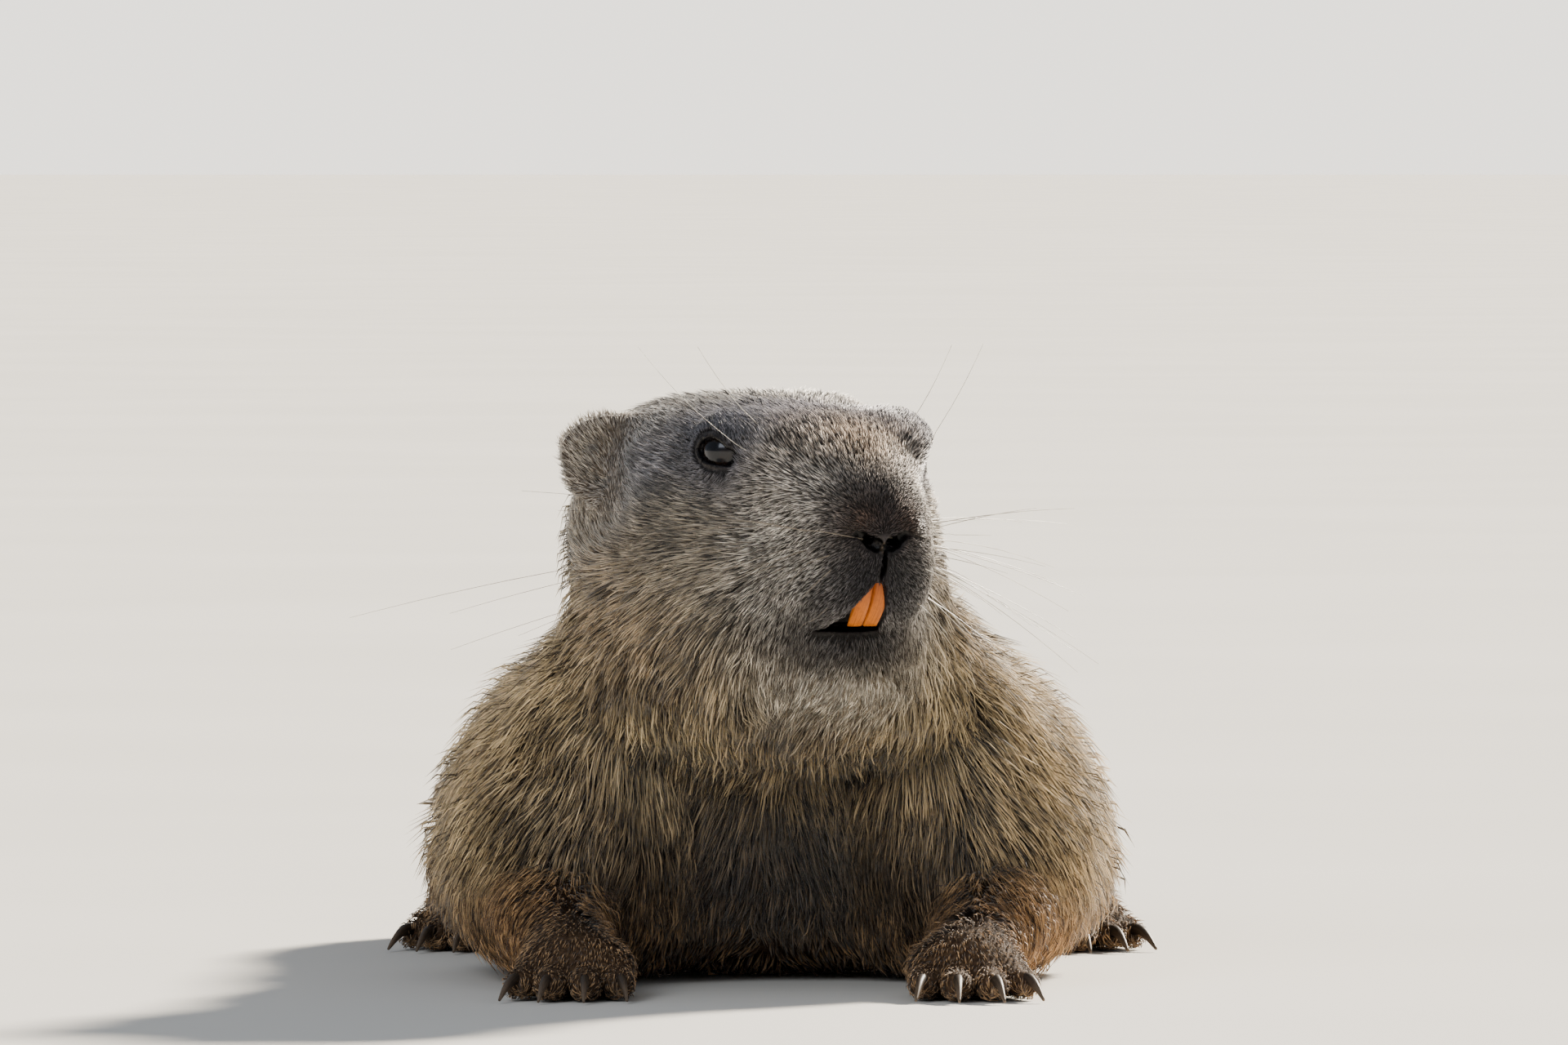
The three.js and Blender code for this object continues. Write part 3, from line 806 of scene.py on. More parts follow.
def eye_features() -> list[Feature]:
    """Lids that wrap each ball, and the almond opening between them.

    Returns:
        The forms, in the order in which they change the skin.
    """
    made = []
    for side in SIDES.values():
        ball = Ellipsoid(eye_place(side).at, (EYE_RADIUS + LID,) * 3)
        made.append(Feature(Change.ADD, ball, 2.2))
    for side in SIDES.values():
        tilt = Place((side * 0.4, 0.0, -0.9), (0.0, side * 0.16, 0.0))
        upper = Ellipsoid((0, 0, -1.2), (6.3, 60, 5.7))
        lower = Ellipsoid((0, 0, 2.4), (6.8, 60, 4.8))
        front = Facets((((0, 2.0, 0), (0, -1, 0)),))
        almond = Placed(Overlap((upper, lower, front)), tilt)
        ball = Ellipsoid((0, 0, 0), (EYE_RADIUS - 0.75,) * 3)
        opening = Placed(Scoop(almond, ball, 0.1), eye_place(side))
        made.append(Feature(Change.CUT, opening, 0.4, 0.9, 0x080608))
        corner = Limb((side * 3.4, 6.4, -0.7), (side * 9.6, 10.4, -2.4), 3.0, 1.4)
        tear_corner = Placed(Scoop(corner, ball, 0.1), eye_place(side))
        made.append(Feature(Change.CUT, tear_corner, 0.6, 0.6, 0x080608))
    return made


def nose_features() -> list[Feature]:
    """Wings and slits of the nostrils, and the cleft of the upper lip; the hollows are coloured almost
    black, as painted shade.

    Returns:
        The forms, in the order in which they change the skin.
    """
    wings = both((6.6, 74.0, -9.0), (4.6, 4.2, 3.2), 1.5)
    made = [Feature(Change.ADD, wings, 2.5)]
    for side in SIDES.values():
        x = -side
        slit = Limb((2.1 * x, 77.2, -15.6), (6.8 * x, 76.6, -12.6), 1.9, 1.1)
        crease = Limb((6.8 * x, 76.8, -12.6), (11.0 * x, 75.4, -14.4), 0.9, 0.4)
        pocket = Limb((3.6 * x, 77.4, -15.0), (3.4 * x, 69.0, -13.6), 1.7, 1.2)
        # Painted shade: the slit, the pocket and the crease are coloured almost black, for the dark inside
        # them.
        made.append(Feature(Change.CUT, slit, 0.6, 0.0, 0x020202))
        made.append(Feature(Change.CUT, pocket, 0.5, 0.0, 0x020202))
        made.append(Feature(Change.CUT, crease, 0.6, -0.2, 0x060606))
    # The cleft is coloured almost black: painted shade in the split of the lip.
    cleft = Ellipsoid((-0.6, 76.5, -24.0), (1.0, 3.6, 8.0))
    made.append(Feature(Change.CUT, cleft, 0.5, -0.05, 0x020202))
    return made


def mouth_features() -> list[Feature]:
    """The upturned V between the lips, and the line of the mouth behind it.

    Returns:
        The forms, in the order in which they change the skin.
    """
    apex, corner, under = -26.0, -36.6, -37.2  # heights in the head's frame, in mm
    half, back = 6.6, 56.0  # half the width of the V, and how far back it goes
    rise = apex - corner
    opening = Facets(
        (
            ((0.6, 0, apex), (rise, 0, half + 0.9)),
            ((-2.0, 0, apex), (-rise, 0, 3.0)),
            ((0, 0, apex + 0.3), (0, 0, 1)),
            ((half + 1.7, 0, corner), (1, 0, 0)),
            ((-5.0, 0, corner), (-1, 0, 0)),
            ((0, 0, under), (0, 0, -1)),
            ((0, back, 0), (0, -1, 0)),
        )
    )
    slit = Ellipsoid((2.2, 58, under), (9.2, 10, 1.0))
    # The opening and the slit are coloured near black: the lips' own dark skin at their edges, and painted
    # shade inside the mouth.
    made = [Feature(Change.CUT, opening, 1.5, 0.4, 0x120E0F), Feature(Change.CUT, slit, 0.8, 0.2, 0x0C090A)]
    for side in SIDES.values():
        x = -side
        line = Limb((9.5 * x, 61.0, -37.2), (14.5 * x, 53.0, -35.2), 0.8, 0.3)
        made.append(Feature(Change.CUT, line, 1.2, 0.0, 0x1A1617))
    return made


def ear_features() -> list[Feature]:
    """The ears: a round plate each, with a hollow and a deeper hole at its base.

    Returns:
        The forms, in the order in which they change the skin.
    """
    made = []
    for side in SIDES.values():
        round_plate = Ellipsoid((side * 2.4, 0, 0), (13.4, 3.3, 11.4))
        plate = Overlap((round_plate, Facets((((-side * 9.6, 0, 0), (-side, 0, -0.2)),))))
        hollow = Ellipsoid((side * 2.8, 4.4, -0.4), (11.6, 5.2, 9.8))
        hole = Limb((side * 3.6, 0.4, -7.2), (-side * 0.8, 0.4, -4.8), 2.0, 1.2)
        made.append(Feature(Change.ADD, Placed(Scoop(plate, hollow, 1.0), ear_place(side)), 5.0))
        # The hole's bare skin is coloured almost black: painted shade in its depth.
        made.append(Feature(Change.CUT, Placed(hole, ear_place(side)), 1.4, -0.4, 0x14100D))
    return made


FEATURES = ear_features() + eye_features() + nose_features() + mouth_features()
LEATHER = Ellipsoid((0, 78.5, -15.4), (1.8, 3.0, 2.0))
SEPTUM = Ellipsoid((0, 79.5, -16.4), (0.6, 2.5, 1.2))
FLOOR_GAP = 0.6  # mm between the floor and the skin under the body


class SkinField:
    """The distance to the skin of the whole animal."""

    def __init__(self, coat: CoatMap) -> None:
        """Keeps the map of the coat and the body's outline."""
        self.coat = coat
        self.body = body_mass()

    def __call__(self, points: Points) -> Numbers:
        """Distance to the skin at each point, in mm.

        Args:
            points: Where to read it, in mm.

        Returns:
            Distances in mm, below zero inside.
        """
        values = self.body(points)
        near = values < 30.0
        values[near] += self.coat.depth(points[near])
        in_head = HEAD.inward(points)
        close = near & in_reach(in_head)
        values[close] = self.with_features(in_head[close], values[close])
        return np.maximum(values, FLOOR_GAP - points[:, 2])

    @staticmethod
    def with_features(in_head: Points, values: Numbers) -> Numbers:
        """The distances once the head's features are added and cut away.

        Args:
            in_head: Points in the head's frame.
            values: Distances without the features.

        Returns:
            The distances with them.
        """
        for feature in FEATURES:
            at = feature.mass(in_head)
            if feature.change is Change.ADD:
                values = melted(values, at, feature.softness)
            else:
                values = -melted(-values, at, feature.softness)
        return values

    @staticmethod
    def bareness(in_head: Points) -> tuple[Numbers, Numbers]:
        """Where the head's skin grows no hair, and its colour there, with painted shade in its hollows.

        Args:
            in_head: Points in the head's frame.

        Returns:
            A share from 0 to 1, and a linear colour, for each point.
        """
        bare = smoothstep(-LEATHER(in_head), -1.2, 0.2)
        tone = np.repeat([linear(0x2A2628)], len(in_head), axis=0)
        for feature in FEATURES:
            if feature.bare < -0.5:
                continue
            share = smoothstep(-feature.mass(in_head), -feature.bare - 0.5, -feature.bare)
            tone = tone * (1 - share[:, None]) + np.array(linear(feature.tone)) * share[:, None]
            bare = np.maximum(bare, share)
        light = smoothstep(-SEPTUM(in_head), -0.8, 0.3)[:, None]
        return bare, tone * (1 - light) + np.array(linear(0x564A3C)) * light


# Making meshes


def graded(low: float, high: float, close: tuple[float, float], fine: float, coarse: float) -> Numbers:
    """Grid lines that lie close together in one stretch.

    Args:
        low: First line, in mm.
        high: Last line.
        close: Start and end of the close stretch.
        fine: Spacing in the close stretch.
        coarse: Spacing elsewhere.

    Returns:
        The lines' places.
    """
    spans = ((low, close[0], coarse), (*close, fine), (close[1], high, coarse))
    lines = [np.linspace(a, b, max(1, round((b - a) / step)), endpoint=False) for a, b, step in spans]
    return np.append(np.concatenate(lines), high)


CORNERS = np.array([(a, b, c) for a in (0, 1) for b in (0, 1) for c in (0, 1)])
EDGES = [(m, n) for m in range(8) for n in range(m, 8) if np.abs(CORNERS[m] - CORNERS[n]).sum() == 1]


@dataclass(frozen=True)
class NetMaker:
    """Turns a field into a closed mesh of quads, with one corner in each crossed cell.

    Attributes:
        field: The field.
        axes: Grid lines along x, y and z, in mm.
        block: Cells along each side of the rough cells that it looks through first.
    """

    field: Field
    axes: Sequence[Numbers]
    block: int = 4

    def values(self) -> Numbers:
        """The field at the grid's points, worked out closely only near its surface.

        Returns:
            One distance for each point of the grid.
        """
        stops = [np.unique(np.append(np.arange(0, len(a), self.block), len(a) - 1)) for a in self.axes]
        rough_axes = [axis[stop] for axis, stop in zip(self.axes, stops)]
        shape = [len(axis) for axis in rough_axes]
        rough = self.field(self.spots(rough_axes)).reshape(shape)
        size = np.sqrt(sum(np.ix_(*[np.diff(a) ** 2 for a in rough_axes])[k] for k in range(3)))
        corners = [rough[tuple(slice(c, n - 1 + c) for c, n in zip(corner, shape))] for corner in CORNERS]
        near = np.min(np.abs(corners), axis=0) < 0.85 * size
        counts = [len(axis) for axis in self.axes]
        before = [self.cells(stop, count, "left") for stop, count in zip(stops, counts)]
        after = [self.cells(stop, count, "right") for stop, count in zip(stops, counts)]
        wanted = np.zeros(counts, dtype=bool)
        for corner in CORNERS:
            wanted |= near[np.ix_(*[(before, after)[c][k] for k, c in enumerate(corner)])]
        full = rough[np.ix_(*after)].copy()
        places = np.stack([axis[index] for axis, index in zip(self.axes, np.nonzero(wanted))], axis=1)
        full[wanted] = self.field(places)
        return full

    @staticmethod
    def cells(stops: Numbers, count: int, side: str) -> Numbers:
        """The rough cell of each grid line; a line between two cells counts to the one on the given side."""
        return np.clip(np.searchsorted(stops, np.arange(count), side) - 1, 0, len(stops) - 2)

    @staticmethod
    def spots(axes: Sequence[Numbers]) -> Points:
        """All points of a grid."""
        return np.stack(np.meshgrid(*axes, indexing="ij"), axis=-1).reshape(-1, 3)

    def surface(self) -> tuple[Points, Numbers]:
        """The surface as corners and quads.

        Returns:
            Corners in mm, and rows of four corner numbers.
        """
        values = self.values()
        inside = values < 0
        cells = tuple(n - 1 for n in values.shape)
        held = np.zeros(cells, dtype=np.int8)
        for corner in CORNERS:
            held += inside[tuple(slice(c, n + c) for c, n in zip(corner, cells))]
        at = np.stack(np.nonzero((held > 0) & (held < 8)), axis=1)
        corner_values = np.stack([values[tuple((at + corner).T)] for corner in CORNERS], axis=1)
        total, crossings = np.zeros((len(at), 3)), np.zeros(len(at))
        for m, n in EDGES:
            a, b = corner_values[:, m], corner_values[:, n]
            crossed = (a < 0) != (b < 0)
            share = np.where(crossed, a / np.where(crossed, a - b, 1.0), 0.0)
            total += crossed[:, None] * (CORNERS[m] + share[:, None] * (CORNERS[n] - CORNERS[m]))
            crossings += crossed
        local = total / crossings[:, None]
        corners = np.empty_like(local)
        for k, axis in enumerate(self.axes):
            corners[:, k] = axis[at[:, k]] + local[:, k] * np.diff(axis)[at[:, k]]
        number = np.full(cells, -1, dtype=np.int64)
        number[tuple(at.T)] = np.arange(len(at))
        return corners, self.quads(inside, number)

    @staticmethod
    def quads(inside: Numbers, number: Numbers) -> Numbers:
        """The quads round the grid's crossed edges.

        Args:
            inside: Which points of the grid are inside.
            number: The corner in each cell, or -1.

        Returns:
            Rows of four corner numbers, in order round the outside.
        """
        made = []
        for axis in range(3):
            step = np.eye(3, dtype=int)[axis]
            here = inside[tuple(slice(0, n - s) for n, s in zip(inside.shape, step))]
            ahead = inside[tuple(slice(s, n) for n, s in zip(inside.shape, step))]
            at = np.stack(np.nonzero(here != ahead), axis=1)
            u, v = np.eye(3, dtype=int)[(axis + 1) % 3], np.eye(3, dtype=int)[(axis + 2) % 3]
            ring = np.stack([number[tuple((at - back).T)] for back in (u + v, v, 0 * u, u)], axis=1)
            outward = here[tuple(at.T)]
            made.append(np.where(outward[:, None], ring, ring[:, ::-1]))
        return np.concatenate(made)


def settled(field: Field, points: Points, reach: float, rounds: int = 3) -> Points:
    """Points moved along the field's slope onto its surface.

    Args:
        field: The field.
        points: Points near its surface.
        reach: The farthest that one may move, in mm.
        rounds: How often they are moved.

    Returns:
        The points on the surface.
    """
    moved = points.copy()
    for _ in range(rounds):
        value, slope = slope_of(field, moved)
        steep = np.maximum(np.einsum("ij,ij->i", slope, slope), 0.04)
        moved = moved - (value / steep)[:, None] * slope
        off = moved - points
        far = lengths(off)
        moved = points + off * np.minimum(1.0, reach / np.maximum(far, 1e-9))[:, None]
    return moved


def mesh_of(name: str, corners: Points, faces: Numbers, shift: float) -> Thing:
    """A smooth mesh object in the scene.

    Args:
        name: Its name.
        corners: Its corners in mm.
        faces: Rows of three or four corner numbers.
        shift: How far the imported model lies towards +Y of these numbers, in mm.

    Returns:
        The object, at the origin.
    """
    mesh = bpy.data.meshes.new(name)
    count, sides = faces.shape
    mesh.vertices.add(len(corners))
    mesh.vertices.foreach_set("co", ((corners + [0, shift, 0]) * MM).astype(np.float32).ravel())
    mesh.loops.add(count * sides)
    mesh.loops.foreach_set("vertex_index", faces.astype(np.int32).ravel())
    mesh.polygons.add(count)
    mesh.polygons.foreach_set("loop_start", np.arange(0, count * sides, sides, dtype=np.int32))
    mesh.polygons.foreach_set("use_smooth", np.ones(count, dtype=bool))
    mesh.update(calc_edges=True)
    mesh.validate()
    thing = bpy.data.objects.new(name, mesh)
    bpy.context.scene.collection.objects.link(thing)
    return thing


def put_values(mesh: Mesh, name: str, values: Numbers) -> None:
    """Writes one number or one colour for each corner of a mesh, for its material to read.

    Args:
        mesh: The mesh.
        name: What the material calls it.
        values: Numbers, or rows of linear red, green and blue.
    """
    if values.ndim == 1:
        mesh.attributes.new(name, "FLOAT", "POINT").data.foreach_set("value", values.astype(np.float32))
        return
    full = np.ones((len(values), 4), dtype=np.float32)
    full[:, :3] = values
    mesh.attributes.new(name, "FLOAT_COLOR", "POINT").data.foreach_set("color", full.ravel())


# Materials

# Inputs by number: RANGE takes a value (0), its range (1, 2) and the new range (3, 4);
# MIX takes a share (0) and two colours (6, 7), and its output 2 is their mixture
ATTRIBUTE, MATH, MIX, RANGE = "ShaderNodeAttribute", "ShaderNodeMath", "ShaderNodeMix", "ShaderNodeMapRange"
COLOURS = {"data_type": "RGBA"}
SOFTLY = {"interpolation_type": "SMOOTHSTEP"}


def add_node(
    tree: Tree, kind: str, feeds: dict | None = None, out: int | str = 0, **settings: str
) -> Socket | None:
    """Adds a node with its settings and what feeds it.

    Args:
        tree: The node tree.
        kind: The node's type.
        feeds: For each input, by name or number, a value or another node's output.
        out: The output that is wanted, by name or number.
        settings: Properties of the node.

    Returns:
        That output, or None where the node ends the tree.
    """
    node = tree.nodes.new(kind)
    for key, value in settings.items():
        setattr(node, key, value)
    for key, value in (feeds or {}).items():
        socket = node.inputs[key]
        if isinstance(value, Socket):
            tree.links.new(value, socket)
        else:
            socket.default_value = (*value, 1.0) if socket.type == "RGBA" else value
    return node.outputs[out] if node.outputs else None


def new_material(name: str) -> tuple[Material, Tree]:
    """A material of this name and its empty node tree.

    Args:
        name: Its name.

    Returns:
        The material and its node tree.
    """
    material = bpy.data.materials.new(name)
    material.use_nodes = True
    material.node_tree.nodes.clear()
    return material, material.node_tree


def show(tree: Tree, **feeds: Feed) -> None:
    """Ends a material's tree with its shader and output.

    Args:
        tree: The node tree.
        feeds: What feeds the shader's inputs, with _ for a blank in their names.
    """
    named = {key.replace("_", " "): value for key, value in feeds.items()}
    shader = add_node(tree, "ShaderNodeBsdfPrincipled", named)
    add_node(tree, "ShaderNodeOutputMaterial", {"Surface": shader})


def mottling(tree: Tree, size: float, detail: float = 2.0) -> Socket:
    """Soft patches on the object's own coordinates.

    Args:
        tree: The node tree.
        size: Size of a patch, in mm.
        detail: How much finer detail it has.

    Returns:
        A value around one half.
    """
    place = add_node(tree, "ShaderNodeTexCoord", out="Object")
    feeds = {"Vector": place, "Scale": 1.0 / (size * MM), "Detail": detail}
    return add_node(tree, "ShaderNodeTexNoise", feeds)


@dataclass(frozen=True)
class FurFinish:
    """Finish of the hair of one zone.

    Attributes:
        name: Name of the material.
        roughness: Roughness of the hairs.
        sheen: Soft light from behind that the down lets through.
        turn: Where along a hair its colour has half turned from under to over.
        patch: Size of the patches in which hairs are lighter or darker, in mm.
    """

    name: str
    roughness: float
    sheen: float
    turn: float
    patch: float

    def make(self) -> Material:
        """Keratin hair: dark near the skin and paler to its tips, so the eye sees a grizzled coat.

        Returns:
            The material.
        """
        material, tree = new_material(self.name)
        along = add_node(tree, ATTRIBUTE, out="Fac", attribute_name="along")
        shade = add_node(tree, ATTRIBUTE, out="Fac", attribute_name="shade")
        tip = add_node(tree, ATTRIBUTE, out="Fac", attribute_name="tip")
        under = add_node(tree, ATTRIBUTE, out="Color", attribute_name="under")
        over = add_node(tree, ATTRIBUTE, out="Color", attribute_name="over")
        patches = mottling(tree, self.patch)
        turned = add_node(tree, MATH, {0: patches, 1: 0.3, 2: along}, operation="MULTIPLY_ADD")
        share = add_node(tree, RANGE, {0: turned, 1: self.turn - 0.1, 2: self.turn + 0.5}, **SOFTLY)
        share = add_node(tree, MATH, {0: share, 1: tip}, operation="MULTIPLY")
        colour = add_node(tree, MIX, {0: share, 6: under, 7: over}, 2, **COLOURS)
        light = add_node(tree, RANGE, {0: patches, 1: 0.3, 2: 0.7, 3: 0.74, 4: 1.2}, **SOFTLY)
        light = add_node(tree, MATH, {0: light, 1: shade}, operation="MULTIPLY")
        colour = add_node(tree, "ShaderNodeVectorMath", {0: colour, "Scale": light}, operation="SCALE")
        gloss = {"Sheen_Weight": self.sheen, "Sheen_Roughness": 0.4, "Specular_IOR_Level": 0.25}
        show(tree, Base_Color=colour, Roughness=self.roughness, **gloss)
        return material


@dataclass(frozen=True)
class SkinFinish:
    """Finish of the skin and its down, which shows between the tufts.

    Attributes:
        name: Name of the material.
        fur_roughness: Roughness where it is covered with down.
        leather_roughness: Roughness where it is bare and moist.
        grain: Size of the bare skin's cobbles, in mm.
    """

    name: str
    fur_roughness: float
    leather_roughness: float
    grain: float

    def make(self) -> Material:
        """Matt down in the coat's markings, and dark moist cobbled skin on lids, nose and lips, near black
        as painted shade in the nostrils, mouth and ear holes.

        Returns:
            The material.
        """
        material, tree = new_material(self.name)
        bare = add_node(tree, ATTRIBUTE, out="Fac", attribute_name="bare")
        under = add_node(tree, ATTRIBUTE, out="Color", attribute_name="under")
        over = add_node(tree, ATTRIBUTE, out="Color", attribute_name="over")
        tone = add_node(tree, ATTRIBUTE, out="Color", attribute_name="tone")
        streaks = mottling(tree, 1.1, 4.0)
        share = add_node(tree, RANGE, {0: streaks, 1: 0.35, 2: 0.8, 4: 0.4}, **SOFTLY)
        down = add_node(tree, MIX, {0: share, 6: under, 7: over}, 2, **COLOURS)
        down = add_node(tree, MIX, {0: 0.45, 6: down, 7: (0, 0, 0)}, 2, blend_type="MULTIPLY", **COLOURS)
        share = add_node(tree, RANGE, {0: mottling(tree, 2.5), 1: 0.3, 2: 0.8, 4: 0.12}, **SOFTLY)
        tone = add_node(tree, MIX, {0: share, 6: tone, 7: linear(0x2A2322)}, 2, **COLOURS)
        colour = add_node(tree, MIX, {0: bare, 6: down, 7: tone}, 2, **COLOURS)
        rough = add_node(tree, RANGE, {0: bare, 3: self.fur_roughness, 4: self.leather_roughness}, **SOFTLY)
        place = add_node(tree, "ShaderNodeTexCoord", out="Object")
        feeds = {"Vector": place, "Scale": 1.0 / (self.grain * MM)}
        cobbles = add_node(tree, "ShaderNodeTexVoronoi", feeds, "Distance")
        height = add_node(tree, MIX, {0: bare, 6: streaks, 7: cobbles}, 2, **COLOURS)
        bump = add_node(tree, "ShaderNodeBump", {"Height": height, "Strength": 0.35, "Distance": 0.4 * MM})
        show(tree, Base_Color=colour, Roughness=rough, Normal=bump, Specular_IOR_Level=0.2)
        return material


@dataclass(frozen=True)
class EyeFinish:
    """Finish of an eye.

    Attributes:
        name: Name of the material.
        pupil: Colour of the pupil, as 0xRRGGBB.
        iris: Colour of the iris.
        rim: Colour of the dark ring round it.
    """

    name: str
    pupil: int
    iris: int
    rim: int

    def make(self) -> Material:
        """A wet dark eye: fine brown fibres round a black pupil, under a clear coat that mirrors the sky and
        is tinted blue, a painted sky reflection.

        Returns:
            The material.
        """
        material, tree = new_material(self.name)
        off = add_node(tree, ATTRIBUTE, out="Fac", attribute_name="off_axis")
        around = add_node(tree, ATTRIBUTE, out="Fac", attribute_name="around")
        place = add_node(tree, "ShaderNodeCombineXYZ", {0: around, 1: off})
        fibres = add_node(tree, "ShaderNodeTexNoise", {"Vector": place, "Scale": 9.0, "Detail": 3.0})
        share = add_node(tree, RANGE, {0: fibres, 1: 0.3, 2: 0.7}, **SOFTLY)
        iris = add_node(tree, MIX, {0: share, 6: linear(self.rim), 7: linear(self.iris)}, 2, **COLOURS)
        share = add_node(tree, RANGE, {0: off, 1: 0.28, 2: 0.4}, **SOFTLY)
        colour = add_node(tree, MIX, {0: share, 6: linear(self.pupil), 7: iris}, 2, **COLOURS)
        share = add_node(tree, RANGE, {0: off, 1: 0.62, 2: 0.8}, **SOFTLY)
        colour = add_node(tree, MIX, {0: share, 6: colour, 7: linear(self.rim)}, 2, **COLOURS)
        # Painted reflection: the coat's blue tint colours the whole eye like the sky mirrored in it.
        tear_film_with_painted_sky = {"Coat_Weight": 0.5, "Coat_Roughness": 0.02, "Coat_IOR": 1.36, "Coat_Tint": linear(0xA8BCE0)}
        show(tree, Base_Color=colour, Roughness=0.2, Specular_IOR_Level=0.25, **tear_film_with_painted_sky)
        return material


@dataclass(frozen=True)
class HornFinish:
    """Finish of a claw or a tooth.

    Attributes:
        name: Name of the material.
        root: Colour at the root, as 0xRRGGBB.
        tip: Colour at the tip.
        streak: Colour of the fine streaks along it.
        roughness: How rough it is.
    """

    name: str
    root: int
    tip: int
    streak: int
    roughness: float

    def make(self) -> Material:
        """Horn or enamel with growth streaks along it, which break its soft gloss.

        Returns:
            The material.
        """
        material, tree = new_material(self.name)
        along = add_node(tree, ATTRIBUTE, out="Fac", attribute_name="along")
        across = add_node(tree, ATTRIBUTE, out="Fac", attribute_name="across")
        share = add_node(tree, RANGE, {0: along, 1: 0.1, 2: 0.95}, **SOFTLY)
        colour = add_node(tree, MIX, {0: share, 6: linear(self.root), 7: linear(self.tip)}, 2, **COLOURS)
        stretched = add_node(tree, MATH, {0: along, 1: 0.12}, operation="MULTIPLY")
        place = add_node(tree, "ShaderNodeCombineXYZ", {0: across, 1: stretched})
        streaks = add_node(tree, "ShaderNodeTexNoise", {"Vector": place, "Scale": 14.0, "Detail": 4.0})
        share = add_node(tree, RANGE, {0: streaks, 1: 0.42, 2: 0.75, 4: 0.7}, **SOFTLY)
        colour = add_node(tree, MIX, {0: share, 6: colour, 7: linear(self.streak)}, 2, **COLOURS)
        share = add_node(tree, RANGE, {0: mottling(tree, 1.2), 1: 0.4, 2: 0.8, 4: 0.3}, **SOFTLY)
        colour = add_node(tree, MIX, {0: share, 6: colour, 7: linear(self.streak)}, 2, **COLOURS)
        bump = add_node(tree, "ShaderNodeBump", {"Height": streaks, "Strength": 0.2, "Distance": 0.1 * MM})
        feeds = {0: streaks, 1: 0.3, 2: 0.8, 3: self.roughness, 4: self.roughness + 0.2}
        rough = add_node(tree, RANGE, feeds, **SOFTLY)
        show(tree, Base_Color=colour, Roughness=rough, Normal=bump, Specular_IOR_Level=0.28)
        return material


@dataclass(frozen=True)
class PatchyFinish:
    """Finish of a plain thing that is only a little uneven.

    Attributes:
        name: Name of the material.
        first: Its colour, as 0xRRGGBB.
        second: Colour of its patches.
        patch: Size of the patches, in mm.
        roughness: How rough it is.
    """

    name: str
    first: int
    second: int
    patch: float
    roughness: float

    def make(self) -> Material:
        """Soft patches of one tone on another, so that no stretch looks printed.

        Returns:
            The material.
        """
        material, tree = new_material(self.name)
        share = add_node(tree, RANGE, {0: mottling(tree, self.patch), 1: 0.3, 2: 0.7}, **SOFTLY)
        colour = add_node(tree, MIX, {0: share, 6: linear(self.first), 7: linear(self.second)}, 2, **COLOURS)
        show(tree, Base_Color=colour, Roughness=self.roughness)
        return material


FACE_HAIR = FurFinish("face guard hair", 0.5, 0.1, 0.4, 7.0)  # short and flat: pale tips dusted over black
THROAT_HAIR = FurFinish("throat hair", 0.5, 0.2, 0.28, 11.0)  # long and soft: warm light at its edge
BODY_HAIR = FurFinish("back guard hair", 0.5, 0.22, 0.38, 16.0)  # coarse: grizzled, in broad uneven patches
EAR_HAIR = FurFinish("ear hair", 0.5, 0.5, 0.35, 6.0)  # fine: its rim glows against the light
LIMB_HAIR = FurFinish("leg hair", 0.52, 0.22, 0.34, 9.0)  # shorter and flatter: an even straw colour
TAIL_HAIR = FurFinish("tail hair", 0.45, 0.25, 0.45, 18.0)  # coarse and dark: a soft gloss along the brush
DOWNY_SKIN = SkinFinish("downy skin", 0.85, 0.32, 0.45)  # matt between the hairs, moist where it is bare
WET_EYE = EyeFinish("wet dark eye", 0x050405, 0x24180F, 0x080606)  # almost black, with one sharp highlight
ENAMEL = HornFinish("orange enamel", 0x9A4A0C, 0xC46C14, 0x5E2808, 0.36)  # browner to the gum, dull gloss
CLAW_HORN = HornFinish("dark claw horn", 0x2A221D, 0x6A5A4A, 0x171210, 0.4)  # dark, worn paler to the tip
# Painted highlight: whiskers on the lit side and over the brows are coloured near white, for the light that
# catches them.
PAINTED_LIT_BRISTLE = PatchyFinish("whisker painted pale as a highlight", 0xE8E2D4, 0x8A8072, 9.0, 0.35)  # white against the shade
DARK_BRISTLE = PatchyFinish("dark whisker", 0x3A332D, 0x8A8072, 9.0, 0.35)  # brown against the light
PAPER = PatchyFinish("pale matt floor", 0xDAD7D0, 0xE0DDD6, 400.0, 0.9)  # an even ground with no horizon


# The skin


